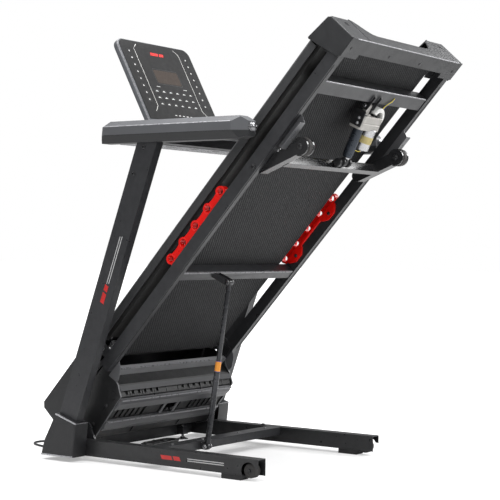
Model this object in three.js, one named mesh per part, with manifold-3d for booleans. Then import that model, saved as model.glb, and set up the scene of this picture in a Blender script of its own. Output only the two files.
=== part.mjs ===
// Folding electric treadmill, in millimetres, +X to the runner's right, +Y forward, +Z up.
// The origin is on the floor under the middle of the machine, which is modelled folded.
import * as THREE from 'three';
import { mergeVertices } from 'three/addons/utils/BufferGeometryUtils.js';
import Module from 'manifold-3d';

const wasm = await Module();
wasm.setup();

// ---- driving dimensions ---------------------------------------------------------------
const GAP = 0.3;                 // air between two pieces that touch
const MACHINE_Y = 1.85;          // moves the whole machine along Y, to centre it on the origin

// base frame
const BASE_OUT = 340;            // outer face of a base tube
const BASE_W = 38;
const BASE_TOP = 64;
const BASE_BOTTOM = 15;
const BASE_REAR = -288;
const BASE_FRONT = 478;
const WALL = 2;
const REAR_BAR = { y0: 68, y1: 118, z0: 39 };
const FRONT_BAR_Y = 440;
const TRANSPORT = { y: -255, z: 29, r: 21.5 };
const PAD = { y0: -228, y1: -160 };
const FOOT = { x: 236, y: 427, stem: 5, disc: 19 };

// uprights, boots, handrails, console
const POST_OUT = 383;
const POST_W = 30;
const POST_DEPTH = 76;           // horizontal depth of the leaning post
const POST_LEAN = 0.36;          // rearward run per millimetre of rise
const POST_FOOT_Y = 404.7;       // rear edge of the post, carried down to the floor
const POST_TOP = 992;
const BOOT_OUT = 402;
const ARM = { out: 400, width: 62, rear: -272, front: 274, z0: 970, z1: 1036, chamfer: 17 };
const SLAB = { y: 228, z: 1031, lean: 28.5, half: 186, height: 323, thick: 23, corner: 30 };

// deck: s runs rearward from the fold pivot, n runs up from it, along the deck
const PIVOT = { y: 384, z: 97, r: 6 };
const FOLD_ANGLE = 48;
const TUBE = { out: 320, width: 25, n0: 52.5, n1: 90.5, s0: 195, s1: 1482 };
const MEMBER = { n0: 55, n1: 90 };
const PLATE_OUT = 294.7;
const PLATE_T = 5.5;
const ROLLER = { r: 24, n: 118.5, front: 228, rear: 1442, half: 256 };
const BELT = { half: 254, inner: 24.7, outer: 27 };
const BOARD = { half: 305, n0: 125, n1: 142.2, s0: 270, s1: 1408 };
const RAIL = { in: 256, out: 317, n0: 133, n1: 164, s0: 228, s1: 1396 };
const CAP = { out: 326, in: 231, rear: 1490, bottom: 50.3, wall: 4 };
const CELL = { first: 615, pitch: 66.8, count: 5, n: 107.7, r: 16.7, hole: 10.4, web: 115.5 };
const MOTOR = { s: 70, n: 75, r: 50, x0: 70, x1: 250 };
const DRIVE = { x0: 264, x1: 280, small: 15.7, large: 34 };

// incline lift, in deck coordinates
const LIFT = { s: 1013, n: 65, out: 292, width: 38, half: 18 };
const HUB = { s: 1148, n: -1, r: 28, plate: 26 };
// The bar between the lift arms, measured along an arm and across it.
const LIFT_BAR = { along0: 53, along1: 78, across0: -19, across1: 7 };
const ACTUATOR = { x: 15, topS: 1277, topN: 62, lowS: 1100, lowN: 9 };

// gas strut
const STRUT = { x: -125, low: [52, 48], s: 614, n: 3, tube: 9, rod: 7, tubeLen: 269, rodLen: 263 };

// power cord
const CORD_R = 3.5;
const HANK = { x: 75, y: 398, half: 52.5, r: 31.5, z0: 0.5, z1: 14.8 };
const PLUG = { x: -10, y: 367, z: 11 };
const INLET = { x: -200, y: BASE_FRONT + GAP, z: 41 };

// ---- colours and finishes -------------------------------------------------------------
const finish = (color, roughness, metalness) => ({ color, roughness, metalness });
const PAINT = finish(0x4a4b4e, 0.45, 0.4);
const PLASTIC = finish(0x3b3c3f, 0.55, 0.0);
const GREY_PLASTIC = finish(0x63676c, 0.45, 0.0);
const SHELL = finish(0x505256, 0.5, 0.0);
const FACE = finish(0x232427, 0.3, 0.0);
const RUBBER = finish(0x1c1c1e, 0.8, 0.0);
const WEAVE = finish(0x2f3033, 0.85, 0.0);
const ELASTOMER = finish(0xc51812, 0.35, 0.0);
const STEEL = finish(0x9a9b9d, 0.35, 0.9);
const CAST = finish(0xb8b7b3, 0.5, 0.6);
const WOOD = finish(0x2a2724, 0.7, 0.0);
const RED = finish(0xb3120f, 0.4, 0.0);
const BLACK_STEEL = finish(0x2c2d2f, 0.4, 0.5);

// ---- solids ---------------------------------------------------------------------------
function solid(geometry) {
  const bare = geometry.clone();
  bare.deleteAttribute('normal');
  bare.deleteAttribute('uv');
  const merged = mergeVertices(bare, 1e-4);
  return new wasm.Manifold(new wasm.Mesh({
    numProp: 3,
    vertProperties: new Float32Array(merged.attributes.position.array),
    triVerts: new Uint32Array(merged.index.array),
  }));
}

function geometryOf(body) {
  const mesh = body.getMesh();
  const geometry = new THREE.BufferGeometry();
  geometry.setAttribute('position', new THREE.BufferAttribute(mesh.vertProperties, mesh.numProp));
  geometry.setIndex(new THREE.BufferAttribute(mesh.triVerts, 1));
  const flat = geometry.toNonIndexed();
  flat.computeVertexNormals();
  return flat;
}

const join = (first, ...others) => others.reduce((sum, body) => sum.add(body), first);
const cut = (first, ...others) => others.reduce((rest, body) => rest.subtract(body), first);

function block(x0, x1, y0, y1, z0, z1) {
  const box = new THREE.BoxGeometry(x1 - x0, y1 - y0, z1 - z0);
  box.translate((x0 + x1) / 2, (y0 + y1) / 2, (z0 + z1) / 2);
  return solid(box);
}

function outline(points) {
  return new THREE.Shape(points.map(([u, v]) => new THREE.Vector2(u, v)));
}

// A (y, z) outline swept along X.
function prismX(points, x0, x1, bevel = 0) {
  const geometry = new THREE.ExtrudeGeometry(outline(points), {
    depth: x1 - x0 - 2 * bevel,
    bevelEnabled: bevel > 0,
    bevelSize: bevel,
    bevelOffset: -bevel,
    bevelThickness: bevel,
    bevelSegments: 3,
  });
  const axes = new THREE.Matrix4().makeBasis(
    new THREE.Vector3(0, 1, 0), new THREE.Vector3(0, 0, 1), new THREE.Vector3(1, 0, 0));
  geometry.applyMatrix4(axes);
  geometry.translate(x0 + bevel, 0, 0);
  return solid(geometry);
}

// An (x, y) outline swept along Z.
function prismZ(points, z0, z1) {
  const geometry = new THREE.ExtrudeGeometry(outline(points), { depth: z1 - z0, bevelEnabled: false });
  geometry.translate(0, 0, z0);
  return solid(geometry);
}

// An (x, z) outline swept along Y.
function prismY(points, y0, y1) {
  const geometry = new THREE.ExtrudeGeometry(outline(points), { depth: y1 - y0, bevelEnabled: false });
  geometry.rotateX(Math.PI / 2);
  geometry.translate(0, y1, 0);
  return solid(geometry);
}

// Deck shapes are drawn as (s, n), and s is -Y in the deck's own group.
const deckPrism = (points, x0, x1, bevel = 0) => prismX(points.map(([s, n]) => [-s, n]), x0, x1, bevel);
const deckBlock = (x0, x1, s0, s1, n0, n1) => block(x0, x1, -s1, -s0, n0, n1);

function rod(axis, r, from, to, [u, v], sides = 24) {
  const geometry = new THREE.CylinderGeometry(r, r, to - from, sides);
  const middle = (from + to) / 2;
  if (axis === 'x') {
    geometry.rotateZ(Math.PI / 2);
    geometry.translate(middle, u, v);
  } else if (axis === 'y') {
    geometry.translate(u, middle, v);
  } else {
    geometry.rotateX(Math.PI / 2);
    geometry.translate(u, v, middle);
  }
  return solid(geometry);
}

const deckRod = (r, x0, x1, s, n, sides = 24) => rod('x', r, x0, x1, [-s, n], sides);

// A band around two circles in one plane, as an outline of points.
function loopOutline([u1, v1], r1, [u2, v2], r2, steps = 12) {
  const along = Math.atan2(v2 - v1, u2 - u1);
  const lean = Math.acos((r1 - r2) / Math.hypot(u2 - u1, v2 - v1));
  const points = [];
  for (let i = 0; i <= steps; i += 1) {
    const a = along + lean + (2 * Math.PI - 2 * lean) * i / steps;
    points.push([u1 + r1 * Math.cos(a), v1 + r1 * Math.sin(a)]);
  }
  for (let i = 0; i <= steps; i += 1) {
    const a = along - lean + 2 * lean * i / steps;
    points.push([u2 + r2 * Math.cos(a), v2 + r2 * Math.sin(a)]);
  }
  return points;
}

// A rounded wheel with a bore, turning about X.
function wheel(r, x0, x1, bore, sides = 24) {
  const half = (x1 - x0) / 2;
  const profile = [
    [bore, -half], [r - 2.5, -half], [r, -half + 2.5], [r, half - 2.5],
    [r - 2.5, half], [bore, half], [bore, -half],
  ];
  const geometry = new THREE.LatheGeometry(profile.map(([u, v]) => new THREE.Vector2(u, v)), sides);
  geometry.rotateZ(-Math.PI / 2);
  geometry.translate((x0 + x1) / 2, 0, 0);
  return solid(geometry);
}

// ---- scene ----------------------------------------------------------------------------
const treadmill = new THREE.Group();
treadmill.position.y = MACHINE_Y;
const deck = new THREE.Group();
deck.position.set(0, PIVOT.y, PIVOT.z);
deck.rotation.x = -THREE.MathUtils.degToRad(FOLD_ANGLE);
treadmill.add(deck);

function place(parent, name, body, look) {
  const mesh = new THREE.Mesh(geometryOf(body), new THREE.MeshStandardMaterial(look));
  mesh.name = name;
  parent.add(mesh);
  return mesh;
}

const SIDES = [['left', -1], ['right', 1]];
// The X range between two distances from the middle, on one side of the machine.
const span = (side, inner, outer) => (side < 0 ? [-outer, -inner] : [inner, outer]);

// ---- base frame -----------------------------------------------------------------------
function baseTube(side) {
  const inner = BASE_OUT - BASE_W;
  const [x0, x1] = span(side, inner, BASE_OUT);
  const [c0, c1] = span(side, inner + WALL, BASE_OUT - WALL);
  const [w0, w1] = span(side, inner + WALL, BASE_OUT + 1);
  const at = [TRANSPORT.y, TRANSPORT.z];
  const tube = cut(
    block(x0, x1, BASE_REAR, BASE_FRONT, BASE_BOTTOM, BASE_TOP),
    block(c0, c1, BASE_REAR - 1, BASE_FRONT - WALL, BASE_BOTTOM + WALL, BASE_TOP - WALL),
    rod('x', TRANSPORT.r + 3.5, w0, w1, at, 32),
    block(w0, w1, BASE_REAR - 1, TRANSPORT.y, BASE_BOTTOM - 1, TRANSPORT.z + 10));
  const [a0, a1] = span(side, inner + 1, BASE_OUT - 4);
  return join(tube, rod('x', 4, a0, a1, at, 16));
}

function transportWheel(side) {
  const [x0, x1] = span(side, BASE_OUT - BASE_W + 5, BASE_OUT - 6);
  return wheel(TRANSPORT.r, x0, x1, 4.5);
}

function rearCrossTube() {
  const reach = BASE_OUT - BASE_W - GAP;
  const { y0, y1, z0 } = REAR_BAR;
  const tube = cut(
    block(-reach, reach, y0, y1, z0, BASE_TOP),
    block(-reach - 1, reach + 1, y0 + WALL, y1 - WALL, z0 + WALL, BASE_TOP - WALL));
  const [py, pz] = STRUT.low;
  const cheek = [[y0 + 1, pz - 8], [py, pz - 9], [py - 8, pz], [py, pz + 9], [y0 + 1, pz + 12]];
  const cheeks = [-1, 1].map((side) => {
    const [c0, c1] = side < 0 ? [STRUT.x - 13, STRUT.x - 9] : [STRUT.x + 9, STRUT.x + 13];
    return prismX(cheek, c0, c1);
  });
  const pin = rod('x', 4, STRUT.x - 12, STRUT.x + 12, STRUT.low, 16);
  return join(tube, ...cheeks, pin);
}

function frontCrossTube() {
  const reach = BASE_OUT - BASE_W - GAP;
  const tube = cut(
    block(-reach, reach, FRONT_BAR_Y, BASE_FRONT, BASE_BOTTOM, BASE_TOP),
    block(-reach - 1, reach + 1, FRONT_BAR_Y + WALL, BASE_FRONT - WALL, BASE_BOTTOM + WALL, BASE_TOP - WALL));
  const lugs = [-1, 1].map((side) => cut(
    block(side * FOOT.x - 14, side * FOOT.x + 14, FRONT_BAR_Y - 25, FRONT_BAR_Y + 1, 18, 44),
    rod('z', FOOT.stem + 1, 10, 50, [side * FOOT.x, FOOT.y], 20)));
  return join(tube, ...lugs);
}

function levellingFoot() {
  const profile = [[0, 0], [FOOT.disc, 0], [FOOT.disc, 3], [8, 7], [FOOT.stem, 8], [FOOT.stem, 50], [0, 50]];
  const geometry = new THREE.LatheGeometry(profile.map(([u, v]) => new THREE.Vector2(u, v)), 16);
  geometry.rotateX(Math.PI / 2);
  return solid(geometry);
}

function footPad(side) {
  const [x0, x1] = span(side, BASE_OUT - BASE_W, BASE_OUT);
  const { y0, y1 } = PAD;
  const top = BASE_BOTTOM - GAP;
  return prismX([[y0, 0], [y1, 0], [y1, top], [y0 - 8, top], [y0 - 8, 8]], x0, x1);
}

// The leaning post's rear edge at height z.
const postRear = (z) => POST_FOOT_Y - POST_LEAN * z;
function postOutline(z0, z1, grow = 0) {
  return [
    [postRear(z0) - grow, z0], [postRear(z0) + POST_DEPTH + grow, z0],
    [postRear(z1) + POST_DEPTH + grow, z1], [postRear(z1) - grow, z1],
  ];
}

function upright(side) {
  const [x0, x1] = span(side, POST_OUT - POST_W, POST_OUT);
  const [b0, b1] = span(side, BASE_OUT + GAP, POST_OUT - POST_W + 1);
  return join(
    prismX(postOutline(17, POST_TOP), x0, x1),
    prismX(postOutline(20, 62), b0, b1));
}

function boot(side) {
  const [x0, x1] = span(side, BASE_OUT + 0.6, BOOT_OUT);
  const outer = [[361, 14], [489, 14], [478, 60], [431, 147], [350, 120], [352, 90]];
  const inner = [[365, 4], [484, 4], [484, 14], [473, 60], [425, 160], [354, 160], [354, 118], [356, 90]];
  const [c0, c1] = side < 0 ? [-BOOT_OUT + 4, -BASE_OUT + 6] : [BASE_OUT - 6, BOOT_OUT - 4];
  return cut(prismX(outer, x0, x1, 6), prismX(inner, c0, c1));
}

function pivotLug(side) {
  const [x0, x1] = span(side, BASE_OUT - BASE_W + 1, BASE_OUT - BASE_W + 7);
  const { y, z } = PIVOT;
  const ear = loopOutline([y, z], 17, [y, BASE_TOP + 3], 17.01, 12).filter(([, v]) => v > BASE_TOP + 3);
  const profile = [[y + 34, BASE_TOP + GAP], [y + 22, z], ...ear.filter(([, v]) => v >= z), [y - 22, z],
    [y - 34, BASE_TOP + GAP]];
  return cut(prismX(orderAround(profile), x0, x1), rod('x', PIVOT.r + GAP, x0 - 1, x1 + 1, [y, z]));
}

// Sorts the points of a convex outline around their middle.
function orderAround(points) {
  const u = points.reduce((sum, p) => sum + p[0], 0) / points.length;
  const v = points.reduce((sum, p) => sum + p[1], 0) / points.length;
  return [...points].sort((a, b) => Math.atan2(a[1] - v, a[0] - u) - Math.atan2(b[1] - v, b[0] - u));
}

function buildBase() {
  SIDES.forEach(([word, side]) => {
    place(treadmill, `base_tube_${word}`, baseTube(side), PAINT);
    const roll = place(treadmill, `transport_wheel_${word}`, transportWheel(side), RUBBER);
    roll.position.set(0, TRANSPORT.y, TRANSPORT.z);
    place(treadmill, `foot_pad_${word}`, footPad(side), RUBBER);
    place(treadmill, `upright_${word}`, upright(side), PAINT);
    place(treadmill, `boot_${word}`, boot(side), PLASTIC);
    place(treadmill, `pivot_lug_${word}`, pivotLug(side), PAINT);
    const foot = place(treadmill, `levelling_foot_${word}`, levellingFoot(), STEEL);
    foot.position.set(side * FOOT.x, FOOT.y, 0);
  });
  place(treadmill, 'rear_cross_tube', rearCrossTube(), PAINT);
  place(treadmill, 'front_cross_tube', frontCrossTube(), PAINT);
}

// ---- handrails and console ------------------------------------------------------------
function handrail(side) {
  const { out, width, rear, front, z0, z1, chamfer } = ARM;
  const [x0, x1] = span(side, out - width, out);
  const c = chamfer;
  const outer = side * out;
  const inner = side * (out - width);
  const section = prismY([
    [outer, z0 + 24], [outer, z1 - c], [outer - side * c, z1], [inner + side * 8, z1], [inner, z1 - 8],
    [inner, z0 + 8], [inner + side * 8, z0], [outer - side * 12, z0],
  ], rear, front);
  const sideView = prismX([
    [rear, z0 + 24], [rear + 10, z0 + 8], [rear + 34, z0], [front - 10, z0], [front, z0 + 11],
    [front, z0 + 25], [front - 39, z1], [rear + 30, z1], [rear + 6, z1 - 16],
  ], x0, x1);
  const plan = prismZ([
    [outer, rear + 48], [outer - side * 24, rear + 8], [outer - side * 40, rear],
    [inner, rear + 6], [inner, front],
    [outer - side * 22, front], [outer, front - 22],
  ], z0, z1);
  const [p0, p1] = span(side, POST_OUT - POST_W - GAP, POST_OUT + GAP);
  const socket = prismX(postOutline(z0 - 30, POST_TOP + GAP, 0.4), p0, p1);
  return cut(section.intersect(sideView).intersect(plan), socket);
}

function consoleBridge() {
  const reach = ARM.out - ARM.width - GAP;
  const front = [[116, 976], [128, 972], [250, 972], [262, 984], [262, 1020], [252, 1030], [116, 1030]];
  const tray = [[-62, 1012], [-54, 1004], [117, 1004], [117, 1030], [-50, 1030], [-62, 1024]];
  const wells = [-1, 1].map((side) => rod('z', 38, 1010, 1040, [side * 262, 30], 32));
  const pocket = block(-200, 200, -40, 100, 1010, 1040);
  return cut(join(prismX(front, -reach, reach), prismX(tray, -reach, reach)), ...wells, pocket);
}

function roundedPlate(half, height, corner, depth) {
  const shape = new THREE.Shape();
  shape.moveTo(-half, 0);
  shape.lineTo(half, 0);
  shape.lineTo(half, height - corner);
  shape.absarc(half - corner, height - corner, corner, 0, Math.PI / 2);
  shape.lineTo(-half + corner, height);
  shape.absarc(-half + corner, height - corner, corner, Math.PI / 2, Math.PI);
  shape.lineTo(-half, 0);
  const geometry = new THREE.ExtrudeGeometry(shape, { depth, bevelEnabled: false, curveSegments: 8 });
  geometry.rotateX(Math.PI / 2);
  return geometry;
}

function buildConsole() {
  SIDES.forEach(([word, side]) => place(treadmill, `handrail_${word}`, handrail(side), GREY_PLASTIC));
  place(treadmill, 'console_bridge', consoleBridge(), SHELL);
  const slab = new THREE.Group();
  slab.position.set(0, SLAB.y, SLAB.z);
  slab.rotation.x = -THREE.MathUtils.degToRad(SLAB.lean);
  treadmill.add(slab);
  const shell = roundedPlate(SLAB.half, SLAB.height, SLAB.corner, SLAB.thick);
  shell.translate(0, SLAB.thick, 14);
  const keySlot = block(-14, 14, -1, 9, 18, 30);
  place(slab, 'console_body', cut(solid(shell), keySlot), GREY_PLASTIC);
  const face = roundedPlate(SLAB.half - 5, SLAB.height - 26, SLAB.corner - 4, 2);
  face.translate(0, -GAP, 36);
  place(slab, 'console_face', solid(face), FACE);
  const key = join(block(-13, 13, -14, -3, 18.5, 29.5), block(-9, 9, -4, 8, 20, 28));
  place(slab, 'safety_key', key, RED);
}

// ---- deck frame -----------------------------------------------------------------------
function deckTube(side) {
  const { out, width, n0, n1, s0, s1 } = TUBE;
  const [x0, x1] = span(side, out - width, out);
  const [c0, c1] = span(side, out - width + WALL, out - WALL);
  const [l0, l1] = span(side, 304, 310);
  const tube = cut(
    deckBlock(x0, x1, s0, s1, n0, n1),
    deckBlock(c0, c1, s0 - 1, s1 + 1, n0 + WALL, n1 - WALL));
  const ears = [ROLLER.front, ROLLER.rear].map((s) => cut(
    deckBlock(l0, l1, s - 16, s + 16, n1 - 1, ROLLER.n + 13),
    deckRod(6.6, l0 - 1, l1 + 1, s, ROLLER.n, 14)));
  const [h0, h1] = span(side, LIFT.out - 2, out - 5);
  return join(tube, ...ears, deckRod(6, h0, h1, LIFT.s, LIFT.n, 16));
}

function crossMember(s0, s1) {
  const reach = TUBE.out - TUBE.width - GAP;
  const { n0, n1 } = MEMBER;
  return cut(
    deckBlock(-reach, reach, s0, s1, n0, n1),
    deckBlock(-reach - 1, reach + 1, s0 + WALL, s1 - WALL, n0 + WALL, n1 - WALL));
}

function frontMember() {
  const { s, n, x } = STRUT;
  const foot = MEMBER.n0 + 1;
  const cheek = [[588, foot], [606, foot], [s + 9, n + 3], [s + 6, n - 7], [s - 4, n - 8], [s - 9, n]];
  const cheeks = [[x - 15, x - 11], [x + 11, x + 15]].map(([c0, c1]) => deckPrism(cheek, c0, c1));
  return join(crossMember(577, 607), ...cheeks);
}

function rearMember() {
  const { x, topS, topN } = ACTUATOR;
  const cheek = [
    [1300, MEMBER.n0 + 1], [topS + 2, topN - 12], [topS - 9, topN - 6], [topS - 9, topN + 6],
    [topS, topN + 11], [1296, 84],
  ];
  const cheeks = [[x - 16, x - 12], [x + 12, x + 16]].map(([c0, c1]) => deckPrism(cheek, c0, c1));
  const pin = deckRod(4, x - 15, x + 15, topS, topN, 16);
  return join(crossMember(1294, 1338), ...cheeks, pin);
}

// The compartment's underside, from the cross bar down and forward to the nose.
const BELLY = [[176, 49], [176, 12], [156, -22], [-14, -32], [-46, -10], [-52, 22], [-52, 58]];
const BELLY_IN = [[-49, 58], [-49, 22], [-43.5, -8], [-13, -29], [154.3, -19], [173, 12.6], [173, 49]];

function sidePlate(side) {
  const [x0, x1] = span(side, PLATE_OUT - PLATE_T, PLATE_OUT);
  const plate = deckPrism([
    [240, 90], [240, 61], [198, 57], [184, 34], [178, 8], [159, -25],
    [-14, -36], [-50, -12], [-55, 22], [-54, 62], [0, 90],
  ], x0, x1);
  const [p0, p1] = span(side, PLATE_OUT - 1, PLATE_OUT + 20);
  return join(plate, deckRod(PIVOT.r, p0, p1, 0, 0));
}

function bellyPan() {
  const reach = PLATE_OUT - PLATE_T - GAP;
  const shell = deckPrism([...BELLY, ...BELLY_IN], -reach, reach);
  const slots = [];
  for (let i = 0; i < 6; i += 1) {
    [[-262, 66], [110, 66]].forEach(([x, s]) => {
      slots.push(deckBlock(x + 26 * i, x + 26 * i + 10, s, s + 34, -48, -8));
    });
    [[-262, 158], [20, 158]].forEach(([x, s]) => {
      slots.push(deckBlock(x + 30 * i, x + 30 * i + 11, s, s + 11, -40, 6));
    });
  }
  return cut(shell, ...slots, deckBlock(-40, 60, 66, 98, -48, -8));
}

function motorCradle() {
  const reach = PLATE_OUT - PLATE_T - GAP;
  const rear = deckPrism([[150, -23.2], [107, -25.7], [107, -32], [135, -35], [150, -29]], -reach, reach);
  const front = deckPrism([[61, -28.2], [20, -30.8], [20, -37], [33, -40], [61, -34]], -reach, reach);
  const strap = [[109, -26], [58, -29], [58, -33], [109, -30]];
  return join(rear, front, deckPrism(strap, -36, -24), deckPrism(strap, 30, 42));
}

function lipBar() {
  const reach = PLATE_OUT - PLATE_T - GAP;
  return deckPrism([[174, 6], [166, -8.2], [170, -10.5], [178.2, 4]], -reach, reach);
}

function motorHood() {
  const outer = [
    [225, 158], [225, 168], [212, 186], [-78, 186], [-92, 172],
    [-92, 64], [-58, 64], [-58, 93], [188, 93], [188, 158],
  ];
  const inner = [
    [240, 80], [240, 156], [222, 156], [222, 167], [210.5, 183],
    [-77, 183], [-89, 171], [-89, 50], [-61, 50], [-61, 80],
  ];
  return cut(deckPrism(outer, -300, 300, 2), deckPrism(inner, -297, 297));
}

function footRail(side) {
  const { in: near, out, n0, n1, s0, s1 } = RAIL;
  const section = [
    [near, n1 - 8], [near + 6, n1], [out - 8, n1], [out, n1 - 8], [out, n0], [out - 3.5, n0],
    [out - 3.5, n1 - 10], [out - 10, n1 - 3.5], [near + 8, n1 - 3.5], [near + 3.5, n1 - 9],
    [near + 3.5, 147], [near, 147],
  ].map(([x, n]) => [side * x, n]);
  return prismY(section, -s1, -s0);
}

function endCap(side) {
  const { out, in: near, rear, bottom, wall } = CAP;
  const [x0, x1] = span(side, near, out);
  const [c0, c1] = side < 0 ? [-out + wall, -near + 1] : [near - 1, out - wall];
  const outer = [[1420, bottom], [rear, bottom], [rear, 144], [rear - 8, 153], [1400, 167], [1397, 163]];
  const low = bottom - 9;
  const inner = [[1380, low], [rear - wall, low], [rear - wall, 140], [rear - 12, 148.5], [1380, 163]];
  const [h0, h1] = span(side, 268, 282);
  return cut(
    deckPrism(outer, x0, x1, 3),
    deckPrism(inner, c0, c1),
    deckBlock(h0, h1, rear - 10, rear + 1, 112, 125));
}

// A flat underside and a rear face that sweeps up to meet the end caps.
function rearCover() {
  const { out, in: near, rear } = CAP;
  const edge = near - GAP;
  const sweep = new THREE.Shape();
  sweep.moveTo(-edge, 49);
  sweep.lineTo(edge, 49);
  sweep.lineTo(edge, 150);
  sweep.bezierCurveTo(edge - 32, 146, edge - 40, 90, edge - 86, 89);
  sweep.lineTo(-edge + 86, 89);
  sweep.bezierCurveTo(-edge + 40, 90, -edge + 32, 146, -edge, 150);
  const face = new THREE.ExtrudeGeometry(sweep, { depth: 3, bevelEnabled: false, curveSegments: 6 });
  face.rotateX(Math.PI / 2);
  face.translate(0, -rear + 3, 0);
  const floor = deckPrism([[1442, 47], [rear, 47], [rear, 50], [1442, 50]], -out + GAP, out - GAP);
  const steps = [-1, 1].map((side) => {
    const [x0, x1] = span(side, 244, out - GAP);
    return deckBlock(x0, x1, 1426, 1443, 47, 50);
  });
  return join(floor, ...steps, solid(face));
}

// Ring cells in a row that stand on the frame tube, with two bolt lobes on its inner side.
function cushion(side) {
  const { first, pitch, count, n, r, hole, web } = CELL;
  const [x0, x1] = span(side, TUBE.out - 28, TUBE.out - 2);
  const [l0, l1] = span(side, TUBE.out - 32, TUBE.out - TUBE.width - GAP);
  const base = TUBE.n1 + GAP;
  const last = first + pitch * (count - 1);
  let strip = deckBlock(x0, x1, first - 12, last + 12, base, web);
  for (let i = 0; i < count; i += 1) {
    const s = first + pitch * i;
    const trunk = deckPrism([[s - r, base], [s + r, base], [s + r, n], [s - r, n]], x0, x1);
    strip = join(strip, trunk, deckRod(r, x0, x1, s, n, 16));
  }
  const lobeHalf = 40;
  const boltN = 79;
  const [b0, b1] = span(side, TUBE.out - 32, TUBE.out - 20);
  [first + pitch * 0.6, last - pitch * 0.6].forEach((s) => {
    const lobe = [
      [s - lobeHalf, base + 5], [s - 36, boltN], [s - 15, 65],
      [s + 15, 65], [s + 36, boltN], [s + lobeHalf, base + 5],
    ];
    const bridge = deckBlock(b0, b1, s - lobeHalf, s + lobeHalf, base, base + 6);
    strip = join(strip, deckPrism(lobe, l0, l1), bridge);
    strip = cut(strip, deckRod(5, l0 - 1, l1 + 1, s, boltN, 10));
  });
  for (let i = 0; i < count; i += 1) {
    strip = cut(strip, deckRod(hole, x0 - 1, x1 + 1, first + pitch * i, n, 12));
  }
  return strip;
}

function runningBelt() {
  const front = [-ROLLER.front, ROLLER.n];
  const rear = [-ROLLER.rear, ROLLER.n];
  return cut(
    prismX(loopOutline(front, BELT.outer, rear, BELT.outer), -BELT.half, BELT.half),
    prismX(loopOutline(front, BELT.inner, rear, BELT.inner), -BELT.half - 1, BELT.half + 1));
}

function driveBelt() {
  const big = [-ROLLER.front, ROLLER.n];
  const small = [-MOTOR.s, MOTOR.n];
  const { x0, x1, small: rs, large: rl } = DRIVE;
  return cut(
    prismX(loopOutline(big, rl + 4, small, rs + 4), x0 + 2, x1 - 2),
    prismX(loopOutline(big, rl + 1.2, small, rs + 1.2), x0 - 1, x1 + 1));
}

function driveMotor() {
  const { s, n, r, x0, x1 } = MOTOR;
  return join(
    deckRod(r, x0 + 10, x1, s, n, 20),
    deckRod(r - 8, x0, x0 + 11, s, n, 20),
    deckPrism([[s - 34, -24], [s + 34, -18], [s + 24, n - 34], [s - 24, n - 34]], x0 + 40, x1 - 40));
}

function buildDeck() {
  SIDES.forEach(([word, side]) => {
    place(deck, `deck_tube_${word}`, deckTube(side), PAINT);
    place(deck, `side_plate_${word}`, sidePlate(side), BLACK_STEEL);
    place(deck, `foot_rail_${word}`, footRail(side), PLASTIC);
    place(deck, `end_cap_${word}`, endCap(side), SHELL);
    place(deck, `cushion_${word}`, cushion(side), ELASTOMER);
  });
  place(deck, 'cross_member_front', frontMember(), PAINT);
  place(deck, 'cross_member_rear', rearMember(), PAINT);
  const reach = PLATE_OUT - PLATE_T - GAP;
  place(deck, 'front_cross_bar', deckBlock(-reach, reach, 158, 204, 50, 64), PAINT);
  place(deck, 'lip_bar', lipBar(), PAINT);
  place(deck, 'motor_cradle', motorCradle(), PAINT);
  place(deck, 'belly_pan', bellyPan(), PLASTIC);
  place(deck, 'motor_hood', motorHood(), SHELL);
  place(deck, 'rear_cover', rearCover(), SHELL);
  const { half, s0, s1, n0, n1 } = BOARD;
  place(deck, 'deck_board', deckBlock(-half, half, s0, s1, n0, n1), WOOD);
  place(deck, 'running_belt', runningBelt(), WEAVE);
  place(deck, 'drive_belt', driveBelt(), RUBBER);
  place(deck, 'drive_motor', driveMotor(), BLACK_STEEL);
}

// ---- rollers and pulley ---------------------------------------------------------------
function roller(pulley) {
  const barrel = rod('x', ROLLER.r, -ROLLER.half, ROLLER.half, [0, 0], 24);
  const shaft = rod('x', 6, -308, 308, [0, 0], 12);
  const wheelEnd = rod('x', DRIVE.large, DRIVE.x0, DRIVE.x1, [0, 0], 24);
  return pulley ? join(barrel, shaft, wheelEnd) : join(barrel, shaft);
}

function buildRollers() {
  const front = place(deck, 'front_roller', roller(true), STEEL);
  front.position.set(0, -ROLLER.front, ROLLER.n);
  const rear = place(deck, 'rear_roller', roller(false), STEEL);
  rear.position.set(0, -ROLLER.rear, ROLLER.n);
  const pulley = place(deck, 'motor_pulley', join(
    rod('x', DRIVE.small, DRIVE.x0, DRIVE.x1, [0, 0], 16),
    rod('x', 34, MOTOR.x1 + 2, DRIVE.x0 - 2, [0, 0], 20),
    rod('x', 6, MOTOR.x1 + GAP, DRIVE.x1, [0, 0], 12)), STEEL);
  pulley.position.set(0, -MOTOR.s, MOTOR.n);
}

// ---- incline lift ---------------------------------------------------------------------
// Unit vector along an arm, from its pivot to its wheel, and the arm's length.
const armLength = Math.hypot(HUB.s - LIFT.s, HUB.n - LIFT.n);
const armAlong = [(HUB.s - LIFT.s) / armLength, (HUB.n - LIFT.n) / armLength];
function onArm(along, across) {
  return [
    LIFT.s + armAlong[0] * along - armAlong[1] * across,
    LIFT.n + armAlong[1] * along + armAlong[0] * across,
  ];
}

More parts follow.
